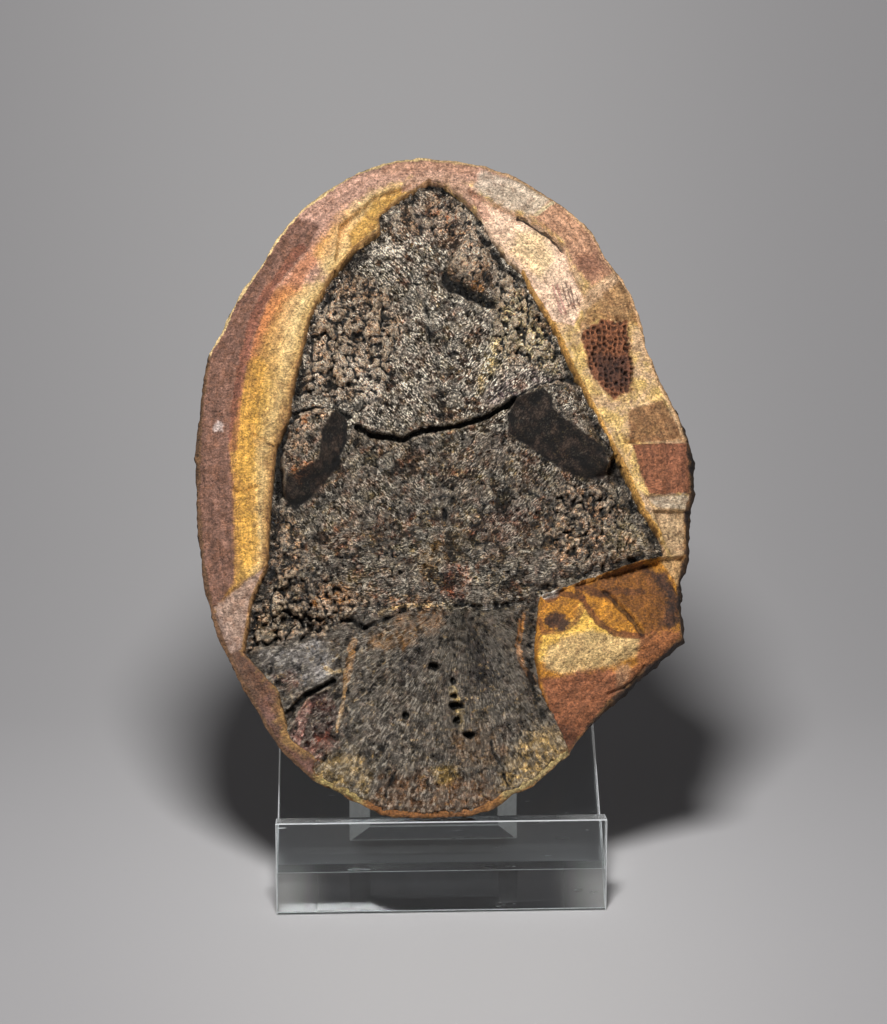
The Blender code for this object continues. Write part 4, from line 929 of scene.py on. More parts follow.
def makeBone(name, material):
    cell, atBase = bonePieces[name]["cell"], bonePieces[name]["atBase"]

    def kept(a, b):
        onSide = depthInside(a, b, baseOutline) * (1.0 if atBase else -1.0)
        rimRoom = depthInside(a, b, faceOutline) - 0.45
        region = np.minimum(depthInside(a, b, skullOutline) + 0.9, rimRoom)
        return np.minimum(region, onSide + boneSkirt["overlap"])

    lowB, highB = (-1.0, 50.0) if atBase else (36.0, 144.0)
    columns = np.arange(-44.0, 53.0, cell)
    rows = np.arange(lowB, highB, cell)
    b, a = (grid.ravel() for grid in np.meshgrid(rows, columns, indexing="ij"))
    a, b = pullOnto(a, b, kept, 0.5 * cell)
    depth = kept(a, b)
    inside = (depth > -0.02).reshape(len(rows), len(columns))
    index = np.arange(a.size).reshape(inside.shape)
    whole = inside[:-1, :-1] & inside[1:, :-1] & inside[1:, 1:] & inside[:-1, 1:]
    quads = np.stack((index[:-1, :-1], index[:-1, 1:], index[1:, 1:], index[1:, :-1]), -1)[whole]
    used, back = np.unique(quads, return_inverse=True)
    near = depth > -2.2 * boneDetail["hollowReach"]
    level, fine = np.zeros(a.shape), np.zeros(a.shape)
    level[near], fine[near] = boneFace(a[near], b[near])
    grid, reach = level.reshape(inside.shape), round(boneDetail["hollowReach"] / cell)
    below = np.maximum(blurred(grid, reach) - grid, 0.6 * (blurred(grid, 2 * reach) - grid)).ravel()
    a, b, h, below, fine = (values[used] for values in (a, b, level, below, fine))
    mesh = meshFrom(name, np.column_stack((a, -h, b)) * mm, back.reshape(-1, 4))

    # A slanting skirt and a flat floor under the sheet close it
    bm = bmesh.new()
    bm.from_mesh(mesh)
    loose = [edge for edge in bm.edges if edge.is_boundary]
    made = bmesh.ops.extrude_edge_only(bm, edges=loose)["geom"]
    hem = [part for part in made if isinstance(part, bmesh.types.BMVert)]
    hemA = np.array([vert.co.x for vert in hem]) / mm
    hemB = np.array([vert.co.z for vert in hem]) / mm
    step = 0.5
    slopeA = kept(hemA + step, hemB) - kept(hemA - step, hemB)
    slopeB = kept(hemA, hemB + step) - kept(hemA, hemB - step)
    size = np.hypot(slopeA, slopeB) + 1e-6
    for vert, moveA, moveB in zip(hem, slopeA / size, slopeB / size):
        vert.co.x += boneSkirt["inward"] * moveA * mm
        vert.co.z += boneSkirt["inward"] * moveB * mm
        vert.co.y = -(boneSkirt["level"] * mm + boneSkirt["slope"] * vert.co.z)
    rim = [edge for edge in bm.edges if edge.is_boundary]
    bmesh.ops.holes_fill(bm, edges=rim, sides=0)
    bmesh.ops.recalc_face_normals(bm, faces=bm.faces)
    bm.to_mesh(mesh)
    bm.free()

    a, h, b = meshPoints(mesh).T / mm
    h = -h
    for key, values in (("hollow", below), ("relief", fine / boneDetail["wormHeight"])):
        padded = np.zeros(a.shape)
        padded[:len(values)] = values
        writeMask(mesh, key, np.clip(padded, -2.0, 2.0))
    shine = smoothStep(b, 82.0, 89.0) + 0.4 * smoothStep(-a, -9.0, 3.0) * smoothStep(-b, -44, -40)
    angle, away = fanPlace(a, b)
    toRight, lower, fan = fibreShares(a, b)
    masks = {"shine": shine, "crust": crustShare(a, b), "leanRight": toRight, "runLevel": lower,
             "inFan": fan, "fanAngle": angle, "fanAway": away}
    for key, side in flanges.items():
        steep = depthInside(a, b, side["ridge"] + side["foot"])
        masks[key + "Sheer"] = np.clip(steep, -6.0, 6.0)
    for key, values in masks.items():
        writeMask(mesh, key, values)
    writePaint(mesh, a, b, bonePaint, boneStains)
    mesh.materials.append(material)
    addPiece(name, mesh, "skull_nodule")


def tint(colour):
    share = np.array(colour, float) / 255.0
    linear = np.where(share <= 0.04045, share / 12.92, ((share + 0.055) / 1.055) ** 2.4)
    return (*linear.tolist(), 1.0)


# An input given as a socket is linked, any other is set
def feed(tree, node, inputs):
    for key, value in inputs.items():
        if isinstance(value, bpy.types.NodeSocket):
            tree.links.new(value, node.inputs[key])
        else:
            node.inputs[key].default_value = value


def put(tree, kind, inputs=None, **settings):
    node = tree.nodes.new(kind)
    for key, value in settings.items():
        setattr(node, key, value)
    feed(tree, node, inputs or {})
    return node


def calc(tree, operation, one, two=0.0, three=0.0):
    return put(tree, "ShaderNodeMath", {0: one, 1: two, 2: three}, operation=operation).outputs[0]


def times(tree, one, two):
    return calc(tree, "MULTIPLY", one, two)


# one * two + three
def line(tree, one, two, three):
    return calc(tree, "MULTIPLY_ADD", one, two, three)


def blendColour(tree, share, one, two, mode="MIX"):
    node = put(tree, "ShaderNodeMix", {0: share, 6: one, 7: two}, data_type="RGBA",
               blend_type=mode)
    return node.outputs[2]


def blendValue(tree, share, one, two):
    return put(tree, "ShaderNodeMix", {0: share, 2: one, 3: two}, data_type="FLOAT").outputs[0]


def shaded(tree, colour, shade):
    grey = put(tree, "ShaderNodeCombineColor", {0: shade, 1: shade, 2: shade}).outputs[0]
    return blendColour(tree, 1.0, colour, grey, "MULTIPLY")


def brightness(tree, colour):
    return put(tree, "ShaderNodeRGBToBW", {0: colour}).outputs[0]


def remap(tree, value, low, high, toLow=0.0, toHigh=1.0, kind="SMOOTHSTEP"):
    return put(tree, "ShaderNodeMapRange", {"Value": value, "From Min": low, "From Max": high,
                                            "To Min": toLow, "To Max": toHigh},
               interpolation_type=kind).outputs[0]


def objectPoint(tree):
    return put(tree, "ShaderNodeTexCoord").outputs["Object"]


def axes(tree, point):
    return put(tree, "ShaderNodeSeparateXYZ", {0: point}).outputs


def noise(tree, point, scale=1.0, detail=3.0, rough=0.5, bend=0.0):
    return put(tree, "ShaderNodeTexNoise", {"Vector": point, "Scale": scale, "Detail": detail,
                                            "Roughness": rough, "Distortion": bend}).outputs[0]


def laidOut(tree, point, turn, size):
    return put(tree, "ShaderNodeMapping", {"Vector": point, "Rotation": (0.0, turn, 0.0),
                                           "Scale": size}, vector_type="TEXTURE").outputs[0]


def addBump(tree, shader, strength, depth, height):
    bump = put(tree, "ShaderNodeBump", {"Strength": strength, "Distance": depth * mm,
                                        "Height": height})
    tree.links.new(bump.outputs[0], shader.inputs["Normal"])


# Place on the face before it leans back: across, into the stone, and up
def facePoint(tree):
    return put(tree, "ShaderNodeMapping", {
        "Vector": objectPoint(tree), "Location": faceMove.translation,
        "Rotation": (math.radians(-faceSettings["lean"]), 0.0, 0.0)},
        vector_type="TEXTURE").outputs[0]


def perSize(tree, size):
    return calc(tree, "DIVIDE", 1.0 / mm, size)


def clouds(tree, size, detail=3.0, rough=0.55):
    return noise(tree, facePoint(tree), perSize(tree, size), detail, rough)


def newGroup(name, inputs, outputs):
    tree = bpy.data.node_groups.new(name, "ShaderNodeTree")
    for label, value in inputs.items():
        socket = tree.interface.new_socket(name=label, in_out="INPUT",
                                           socket_type="NodeSocketFloat")
        socket.default_value = value
    for label in outputs:
        tree.interface.new_socket(name=label, in_out="OUTPUT", socket_type="NodeSocketFloat")
    return tree, tree.nodes.new("NodeGroupInput").outputs, tree.nodes.new("NodeGroupOutput")


# Turns a distance in millimetres, read from the mesh, into a ragged-edged mask
def makeZoneGroup():
    tree, given, out = newGroup("raggedZone", {"Distance": 0.0, "Ragged": 0.5, "Soft": 0.5,
                                               "Cover": 1.0}, ["Mask"])
    shake = calc(tree, "SUBTRACT", clouds(tree, 1.6, 4.0, 0.65), 0.5)
    shaken = line(tree, shake, times(tree, given["Ragged"], 3.2), given["Distance"])
    mask = remap(tree, shaken, times(tree, given["Soft"], -1.0), given["Soft"])
    feed(tree, out, {"Mask": times(tree, mask, given["Cover"])})
    return tree


# Sand and crystal grain: a brightness to multiply by, a mask of dark specks, and a height
def makeGrainGroup():
    tree, given, out = newGroup("mineralGrain", {"Size": 0.5, "Contrast": 0.3, "Specks": 0.1},
                                ["Shade", "Speck", "Height"])
    point, scale = facePoint(tree), perSize(tree, given["Size"])
    fine = noise(tree, point, scale, 4.0, 0.7)
    cells = put(tree, "ShaderNodeTexVoronoi", {"Vector": point, "Scale": scale}).outputs
    cellRed = put(tree, "ShaderNodeSeparateColor", {0: cells["Color"]}).outputs[0]
    light = times(tree, calc(tree, "SUBTRACT", fine, 0.5), 2.4)
    mixed = line(tree, calc(tree, "SUBTRACT", cellRed, 0.5), 0.5, light)
    coarse = noise(tree, point, times(tree, scale, 0.55), 2.0)
    edge = calc(tree, "SUBTRACT", 0.78, times(tree, given["Specks"], 0.3))
    feed(tree, out, {
        "Shade": line(tree, mixed, given["Contrast"], 1.0),
        "Speck": remap(tree, coarse, edge, calc(tree, "ADD", edge, 0.05), kind="LINEAR"),
        "Height": line(tree, cells["Distance"], -0.5, fine)})
    return tree


# Cloudy patches of a second colour
def makePatchGroup():
    tree, given, out = newGroup("mineralPatch", {"Size": 6.0, "Spread": 0.5, "Soft": 0.06},
                                ["Mask"])
    cloud = noise(tree, facePoint(tree), perSize(tree, given["Size"]), 6.0, 0.62, 0.4)
    middle = line(tree, given["Spread"], -0.4, 0.7)
    feed(tree, out, {"Mask": remap(tree, cloud, calc(tree, "SUBTRACT", middle, given["Soft"]),
                                   calc(tree, "ADD", middle, given["Soft"]))})
    return tree


# Thin wriggly dark creases: 1 in a crease
def makeCreaseGroup():
    tree, given, out = newGroup("mineralCrease", {"Size": 1.2, "Width": 0.02}, ["Mask"])
    point, scale = facePoint(tree), perSize(tree, given["Size"])
    cloud = noise(tree, point, scale, 4.0, 0.6, 0.6)
    away = calc(tree, "ABSOLUTE", calc(tree, "SUBTRACT", cloud, 0.5))
    mask = remap(tree, away, given["Width"], 0.0, kind="LINEAR")
    where = remap(tree, noise(tree, point, times(tree, scale, 0.4), 2.0), 0.44, 0.56,
                  kind="LINEAR")
    feed(tree, out, {"Mask": times(tree, mask, where)})
    return tree


zoneGroup, grainGroup, patchGroup = makeZoneGroup(), makeGrainGroup(), makePatchGroup()
creaseGroup = makeCreaseGroup()


def useGroup(tree, group, **values):
    return put(tree, "ShaderNodeGroup", values, node_tree=group).outputs


def patchMask(tree, size, spread, soft):
    return useGroup(tree, patchGroup, Size=size, Spread=spread, Soft=soft)["Mask"]


# A patch or a crease: the numbers of its group, how strongly it covers, and its colour
def paintPatch(tree, colour, patch):
    mask = times(tree, patchMask(tree, *patch[:3]), patch[3])
    return blendColour(tree, mask, colour, tint(patch[4]))


def paintCreases(tree, colour, size, width, cover, creaseColour):
    crease = useGroup(tree, creaseGroup, Size=size, Width=width)["Mask"]
    return blendColour(tree, times(tree, crease, cover), colour, tint(creaseColour))


def newMaterial(name):
    material = bpy.data.materials.new(name)
    material.use_nodes = True
    tree = material.node_tree
    return material, tree, tree.nodes["Principled BSDF"]


def readMask(tree, name):
    return put(tree, "ShaderNodeAttribute", attribute_name=name).outputs["Fac"]


def zoneMask(tree, name, ragged, soft, cover):
    return useGroup(tree, zoneGroup, Distance=readMask(tree, name), Ragged=ragged, Soft=soft,
                    Cover=cover)["Mask"]


def paintZones(tree, colour, zones):
    for name, (_, zoneColour, soft, ragged, cover) in zones.items():
        mask = zoneMask(tree, name, ragged, soft, cover)
        colour = blendColour(tree, mask, colour, tint(zoneColour))
    return colour


def paintStains(tree, colour, stains):
    for name, (_, width, stainColour, cover) in stains.items():
        mask = zoneMask(tree, name, 0.6 * width + 0.1, 0.3 * width, cover)
        colour = blendColour(tree, mask, colour, tint(stainColour))
    return colour


def colourRamp(tree, value, stops):
    ramp = put(tree, "ShaderNodeValToRGB", {0: value})
    elements = ramp.color_ramp.elements
    while len(elements) > 1:
        elements.remove(elements[-1])
    elements[0].position, elements[0].color = stops[0][0], tint(stops[0][1])
    for position, colour in stops[1:]:
        elements.new(position).color = tint(colour)
    return ramp.outputs[0]


# Lengths in millimetres. A patch is its size, spread, softness, cover and colour
stoneLook = {
    "upperBand": [(0.0, (206, 164, 100)), (0.08, (220, 182, 116)), (0.24, (240, 206, 144)),
                  (0.5, (230, 184, 124)), (0.74, (224, 166, 98)), (0.93, (204, 140, 92)),
                  (1.0, (172, 118, 92))],
    "lowerBand": [(0.0, (152, 116, 68)), (0.08, (182, 142, 86)), (0.24, (220, 184, 122)),
                  (0.5, (216, 170, 90)), (0.74, (204, 157, 78)), (0.95, (194, 142, 80)),
                  (1.0, (150, 104, 74))],
    "bandTurn": (92.0, 112.0),      # height up the face where one gives way to the other
    "bandShake": 0.28,
    "right": (214, 178, 138), "rightPale": (234, 196, 120), "rightFrom": (-2.0, 4.0),
    "brownSand": (1.8, 0.42, 0.07, 0.34, (126, 80, 50)),
    "paleSandShade": (0.94, 1.2),
    "grainSize": 0.42, "grainContrast": 1.1,
    "speck": (84, 58, 40), "speckStrip": (-5.0, -2.0),
    "waveGap": 0.42, "waveStretch": 3.2, "waveTurn": -0.1, "waveShade": (0.74, 1.24),
    "growthGap": 1.1, "growthLength": 16.0, "growthShade": (0.8, 1.2),
    "crease": (1.5, 0.028, 0.6, (88, 54, 36)),
    "rind": (118, 86, 60), "rindDark": (62, 46, 38),
    "rindOchre": (4.0, 0.4, 0.08, 0.75, (164, 118, 66)),
    "paintedOnRind": ("rimGold", "rimCream", "rimBrown"),
    # deep and wall are painted shade, in recesses and on the wall of the skull's hollow
    "deep": (26, 17, 14), "recessShadeFrom": (-0.25, -1.2),
    "wallShade": (20, 15, 12), "wallShadeFrom": (1.4, 2.4),      # how far in from the rim it starts
    "roughness": 0.78, "bump": 0.8, "bumpDepth": 0.3,
}


def makeStoneMaterial():
    look = stoneLook
    material, tree, shader = newMaterial("ironstone_rind_and_core")
    point = facePoint(tree)
    across, _, up = axes(tree, point)
    share = line(tree, calc(tree, "SUBTRACT", clouds(tree, 3.0, 4.0), 0.5), look["bandShake"],
                 readMask(tree, "bandShare"))
    climb = remap(tree, up, *(end * mm for end in look["bandTurn"]))
    left = blendColour(tree, climb, colourRamp(tree, share, look["lowerBand"]),
                       colourRamp(tree, share, look["upperBand"]))
    right = blendColour(tree, patchMask(tree, 7.0, 0.5, 0.1), tint(look["right"]),
                        tint(look["rightPale"]))
    side = remap(tree, across, *(end * mm for end in look["rightFrom"]))
    colour = blendColour(tree, side, left, right)
    colour = paintZones(tree, colour, stonePaint)
    colour = paintStains(tree, colour, stoneStains)

    # Sandy mottling, wavy lines, and dark specks on the pale strip beside the skull
    grain = useGroup(tree, grainGroup, Size=look["grainSize"], Contrast=look["grainContrast"],
                     Specks=0.55)
    colour = paintPatch(tree, colour, look["brownSand"])
    colour = shaded(tree, colour, remap(tree, patchMask(tree, 2.2, 0.4, 0.1), 0.0, 1.0,
                                        *look["paleSandShade"]))
    strip = remap(tree, readMask(tree, "inSkull"), *look["speckStrip"])
    specks = times(tree, times(tree, grain["Speck"], strip), 0.5)
    colour = blendColour(tree, specks, colour, tint(look["speck"]))
    gap = look["waveGap"] * mm
    waves = noise(tree, laidOut(tree, point, look["waveTurn"],
                                (gap * look["waveStretch"], gap, gap)), 1.0, 3.0, 0.65, 1.2)
    growth = noise(tree, put(tree, "ShaderNodeCombineXYZ", {
        0: calc(tree, "DIVIDE", readMask(tree, "fromRim"), look["growthGap"]),
        1: calc(tree, "DIVIDE", up, look["growthLength"] * mm)}).outputs[0], 1.0, 3.0, 0.6, 0.8)
    lines = times(tree, remap(tree, waves, 0.36, 0.62, *look["waveShade"]),
                  remap(tree, growth, 0.34, 0.66, *look["growthShade"]))
    colour = paintCreases(tree, colour, *look["crease"])

    # Rind on the side and back
    rind = blendColour(tree, patchMask(tree, 9.0, 0.5, 0.1), tint(look["rind"]),
                       tint(look["rindDark"]))
    rind = paintPatch(tree, rind, look["rindOchre"])
    colour = blendColour(tree, zoneMask(tree, "rind", 0.5, 0.4, 1.0), colour, rind)
    colour = paintStains(tree, colour, {key: stoneStains[key] for key in look["paintedOnRind"]})

    # Painted shade: darker where the surface lies below its plain level, in cracks and hollows, and on
    # the wall of the hollow that the skull lies in
    # painted shade in cracks and hollows
    deep = remap(tree, readMask(tree, "relief"), *look["recessShadeFrom"])
    colour = blendColour(tree, times(tree, deep, 0.75), colour, tint(look["deep"]))
    # painted shade on the stone's wall round the skull
    wallShade = times(tree, remap(tree, readMask(tree, "inSkull"), 0.05, 0.5),
                 remap(tree, readMask(tree, "fromRim"), *look["wallShadeFrom"]))
    colour = blendColour(tree, times(tree, wallShade, 0.95), colour, tint(look["wallShade"]))
    colour = shaded(tree, colour, times(tree, grain["Shade"], lines))
    rough = line(tree, calc(tree, "SUBTRACT", clouds(tree, 0.9), 0.5), 0.3, look["roughness"])
    feed(tree, shader, {"Base Color": colour, "Roughness": rough})
    addBump(tree, shader, look["bump"], look["bumpDepth"], line(tree, waves, 0.8, grain["Height"]))
    return material


boneLook = {
    "ground": (54, 48, 42), "fan": (84, 77, 69), "fanCover": 0.7,
    "patches": [(7.0, 0.5, 0.1, 0.75, (88, 64, 46)), (4.0, 0.4, 0.1, 0.65, (90, 78, 48)),
                (2.4, 0.26, 0.1, 0.75, (108, 66, 44))],     # brown, olive and rust
    "dark": (30, 27, 25), "darkCover": (-0.15, 0.7),        # less on crust
    "scab": (166, 128, 94), "scabCover": 0.75, "ochre": (160, 128, 70),
    "dust": (0.7, 0.16, 0.05, 0.4, (196, 182, 156)),
    # ridge, glint and proud are painted highlights
    "ridge": (112, 104, 94), "tip": (222, 212, 194), "proudHighlight": (196, 172, 142),
    # gap is the colour of painted shade in grooves and hollows
    "gap": (13, 11, 9), "grooveShadeCover": 0.55, "gapShadeCover": 0.93,
    "crease": (1.9, 0.03, 0.75, (13, 11, 9)),
    # painted shade on the flanges' sheer faces, with warm tint and sheen
    "sheerShade": (17, 14, 13), "sheerTintAndSheen": (96, 76, 64), "sheerRough": 0.85,
    "fibreGap": 0.3, "fibreStretch": 2.9,     # millimetres, and how many times longer than wide
    "fibreShade": (0.22, 1.95), "fanCalm": 0.68, "fanGlints": -0.62,
    "rayTurn": 0.014, "rayLength": 1.5,
    "grainSize": 0.24, "grainContrast": 0.9,
    "gloss": 0.22, "dull": 0.5,
    "middleGrey": 0.062, "contrast": 0.36, "mostLift": 2.4,
    "bumpDepth": 0.4,
}


# Fine fibres that run one way over the bone: 1 along a fibre, 0 between two
def fibres(tree, point):
    return noise(tree, point, 1.0, 3.0, 0.6, 0.5)


def fibrePattern(tree):
    point = facePoint(tree)
    gap, stretch = boneLook["fibreGap"] * mm, boneLook["fibreStretch"]
    right, left, level = [
        fibres(tree, laidOut(tree, point, math.radians(turn), (gap * stretch, gap, gap)))
        for turn in (boneDetail["wormLean"], -boneDetail["wormLean"], -4.0)]
    rays = put(tree, "ShaderNodeCombineXYZ", {
        0: calc(tree, "DIVIDE", readMask(tree, "fanAngle"), boneLook["rayTurn"]),
        1: calc(tree, "DIVIDE", readMask(tree, "fanAway"), boneLook["rayLength"])}).outputs[0]
    pattern = blendValue(tree, readMask(tree, "leanRight"), right, left)
    pattern = blendValue(tree, readMask(tree, "runLevel"), pattern, level)
    return blendValue(tree, readMask(tree, "inFan"), pattern, fibres(tree, rays))


def makeBoneMaterial():
    look = boneLook
    material, tree, shader = newMaterial("sculptured_bone")
    inFan, crust = readMask(tree, "inFan"), readMask(tree, "crust")
    colour = tint(look["ground"])
    for patch in look["patches"]:
        colour = paintPatch(tree, colour, patch)
    colour = blendColour(tree, times(tree, inFan, look["fanCover"]), colour, tint(look["fan"]))
    colour = paintZones(tree, colour, bonePaint)
    colour = paintStains(tree, colour, boneStains)
    dark = times(tree, patchMask(tree, 3.4, 0.34, 0.06), line(tree, crust, *look["darkCover"]))
    colour = blendColour(tree, dark, colour, tint(look["dark"]))
    open = remap(tree, brightness(tree, colour), 0.009, 0.032, 0.15, 1.0)     # not on dark ground

    # Flecks of ochre and scabs of crust, mottling, and the painted light and shade of the fibres
    grain = useGroup(tree, grainGroup, Size=look["grainSize"], Contrast=look["grainContrast"],
                     Specks=0.3)
    pattern = fibrePattern(tree)
    where = line(tree, patchMask(tree, 9.0, 0.5, 0.15), 0.5, 0.04)
    ochre = times(tree, patchMask(tree, 1.0, 0.26, 0.06), where)
    colour = blendColour(tree, ochre, colour, tint(look["ochre"]))
    scab = times(tree, patchMask(tree, 2.0, 0.42, 0.05), times(tree, crust, look["scabCover"]))
    colour = blendColour(tree, scab, colour, tint(look["scab"]))
    mottle = times(tree, remap(tree, clouds(tree, 1.2, 4.0), 0.34, 0.66, 0.55, 1.5),
                   remap(tree, clouds(tree, 5.0, 2.0), 0.35, 0.65, 0.78, 1.25))
    shade = remap(tree, remap(tree, pattern, 0.36, 0.64), 0.0, 1.0, *look["fibreShade"])
    shade = blendValue(tree, times(tree, inFan, look["fanCalm"]), shade, 1.0)
    shade = times(tree, times(tree, shade, mottle), grain["Shade"])
    colour = shaded(tree, colour, shade)

    # Painted highlights: bright glints on the fibres and light ridge and knob tops, and painted shade
    # darkening the grooves and gaps between them
    relief, hollow = readMask(tree, "relief"), readMask(tree, "hollow")
    # painted highlight on ridge tops
    ridge = times(tree, remap(tree, relief, 0.35, 1.3), times(tree, open, 0.4))
    colour = blendColour(tree, ridge, colour, tint(look["ridge"]))
    # painted glints on the fibre tips, strongest where the shine mask is high and fewer in the fan
    shine = times(tree, line(tree, readMask(tree, "shine"), 0.45, 0.42), open)
    shine = times(tree, shine, line(tree, inFan, look["fanGlints"], 1.0))
    tips = line(tree, remap(tree, relief, -0.6, 1.2), 0.1, pattern)
    tips = remap(tree, line(tree, clouds(tree, 0.2, 2.0), 0.3, tips), 0.74, 0.86)
    uneven = remap(tree, clouds(tree, 2.0, 3.0), 0.4, 0.6, 0.5, 1.3)
    colour = blendColour(tree, times(tree, tips, times(tree, shine, uneven)), colour,
                         tint(look["tip"]))
    # painted shade in the grooves of the relief
    groove = times(tree, remap(tree, relief, 0.1, -0.9), look["grooveShadeCover"])
    colour = blendColour(tree, groove, colour, tint(look["gap"]))
    # painted highlight on knobs that stand proud of their neighbours
    proudHighlight = times(tree, remap(tree, hollow, -0.1, -0.7),
                  remap(tree, clouds(tree, 0.7, 4.0), 0.44, 0.56))
    proudHighlight = times(tree, times(tree, proudHighlight, line(tree, crust, 0.45, 0.25)), open)
    colour = blendColour(tree, proudHighlight, colour, tint(look["proudHighlight"]))
    # painted shade in hollows that lie below their neighbours
    gap = times(tree, remap(tree, hollow, 0.12, 0.7), look["gapShadeCover"])
    colour = blendColour(tree, gap, colour, tint(look["gap"]))
    colour = paintCreases(tree, colour, *look["crease"])
    lift = calc(tree, "POWER", calc(tree, "DIVIDE", brightness(tree, colour),
                                    look["middleGrey"]), look["contrast"])
    colour = shaded(tree, colour, calc(tree, "MINIMUM", lift, look["mostLift"]))
    colour = paintPatch(tree, colour, look["dust"])

    # The sheer faces of the flanges get painted shade, dark and dull, with warm patches that are partly
    # their brown tint and partly painted sheen
    rough = remap(tree, clouds(tree, 1.0, 4.0, 0.7), 0.38, 0.62, look["gloss"], look["dull"])
    warm = times(tree, patchMask(tree, 3.0, 0.38, 0.1),
                 remap(tree, pattern, 0.42, 0.6, 0.25, 0.75))
    sheerShade = blendColour(tree, warm, tint(look["sheerShade"]), tint(look["sheerTintAndSheen"]))
    for key in flanges:
        mask = zoneMask(tree, key + "Sheer", 0.5, 0.3, 0.92)
        colour = blendColour(tree, mask, colour, sheerShade)
        rough = blendValue(tree, mask, rough, look["sheerRough"])
    feed(tree, shader, {"Base Color": colour, "Roughness": rough})
    addBump(tree, shader, 1.0, look["bumpDepth"], line(tree, pattern, 1.3, grain["Height"]))
    return material


print("stone: shaping the nodule half")
makeStone(makeStoneMaterial())
print("bone: shaping the roof and the base of the skull")
boneMaterial = makeBoneMaterial()
for pieceName in bonePieces:
    makeBone(pieceName, boneMaterial)


# Millimetres and degrees, from the middle of the front foot
easel = {
    "width": 70.0, "thickness": 4.0, "lipHeight": 20.0, "creaseHeight": 8.24,
    "backrestLean": 40.0, "backrestLength": 85.0,
    "strutWidth": 39.6, "strutDepth": 8.0, "strutSetback": 46.0,
    "strutBevelWidth": 4.6, "strutBevelDepth": 4.0, "strutGap": 0.3,
    "edgeRadius": 0.22, "heelHeight": 8.0,
}
acrylicLook = {
    "colour": (243, 247, 248), "ior": 1.49, "roughness": 0.03,
    "scratchRough": 0.25, "scratchScale": 900.0, "bump": 0.08, "bumpDepth": 0.02,
}
sawnLook = {
    "colour": (226, 229, 231), "dull": (170, 174, 178), "dullCover": 0.35, "transmission": 0.35,
    "roughness": (0.35, 0.65), "bump": 0.4, "bumpDepth": 0.08,
    "paintedGlowColour": (212, 210, 206), "paintedGlow": 0.15,      # painted light: a glow standing in for lamp light that the sheet's glass shadow blocks
}
paintedShadeLook = {
    "colour": (44, 45, 47), "dull": (60, 61, 63), "roughness": 0.08, "transmission": 0.45,
    "paintedEndLight": (196, 194, 190), "ends": (23.0, 36.0),      # millimetres from the middle
}


def makeAcrylic():
    look = acrylicLook
    material, tree, shader = newMaterial("clear_acrylic_polished")
    long = put(tree, "ShaderNodeMapping", {"Vector": objectPoint(tree), "Scale": (0.12, 1.0, 1.0),
                                           "Rotation": (0.0, 0.5, 0.1)}).outputs[0]
    scratch = remap(tree, noise(tree, long, look["scratchScale"], 2.0), 0.68, 0.74)
    feed(tree, shader, {
        "Base Color": tint(look["colour"]), "Transmission Weight": 1.0, "IOR": look["ior"],
        "Roughness": line(tree, scratch, look["scratchRough"], look["roughness"])})
    addBump(tree, shader, look["bump"], look["bumpDepth"], scratch)
    return material


def makeSawnAcrylic():
    look = sawnLook
    material, tree, shader = newMaterial("clear_acrylic_sawn_edge")
    patch = times(tree, patchMask(tree, 1.4, 0.5, 0.12), look["dullCover"])
    # the sawn faces glow with painted light
    feed(tree, shader, {
        "Base Color": blendColour(tree, patch, tint(look["colour"]), tint(look["dull"])),
        "Transmission Weight": look["transmission"], "IOR": acrylicLook["ior"],
        "Emission Color": tint(look["paintedGlowColour"]), "Emission Strength": look["paintedGlow"],
        "Roughness": remap(tree, clouds(tree, 0.6), 0.3, 0.7, *look["roughness"])})
    grain = useGroup(tree, grainGroup, Size=0.35, Contrast=0.3, Specks=0.1)
    addBump(tree, shader, look["bump"], look["bumpDepth"], grain["Height"])
    return material


# Faces tinted with painted shade, for the dark seen through the sheet's foot, and with painted light
# towards their ends
def makeShadedAcrylic():
    look = paintedShadeLook
    material, tree, shader = newMaterial("clear_acrylic_painted_shade")
    colour = blendColour(tree, patchMask(tree, 3.0, 0.5, 0.2), tint(look["colour"]),
                         tint(look["dull"]))
    fromMiddle = calc(tree, "ABSOLUTE", axes(tree, objectPoint(tree))[0])
    ends = remap(tree, fromMiddle, *(end * mm for end in look["ends"]))
    feed(tree, shader, {
        "Base Color": blendColour(tree, ends, colour, tint(look["paintedEndLight"])),
        "Transmission Weight": look["transmission"], "IOR": acrylicLook["ior"],
        "Roughness": look["roughness"]})
    return material


# Side view of the folded sheet, as (back, up): lip, crease, backrest and foot
def sheetProfile():
    lean = math.radians(easel["backrestLean"])
    creaseBack, creaseUp = easel["thickness"], easel["creaseHeight"]
    topBack = creaseBack + easel["backrestLength"] * math.sin(lean)
    topUp = creaseUp + easel["backrestLength"] * math.cos(lean)
    rearBack = topBack + easel["thickness"] * math.cos(lean)
    rearUp = topUp - easel["thickness"] * math.sin(lean)
    foot = rearBack - rearUp * math.tan(lean)
    heel = easel["heelHeight"]
    return [(0.0, 0.0), (0.0, easel["lipHeight"]), (easel["thickness"], easel["lipHeight"]),
            (creaseBack, creaseUp), (topBack, topUp), (rearBack, rearUp),
            (foot + heel * math.tan(lean), heel), (foot, 0.0)]


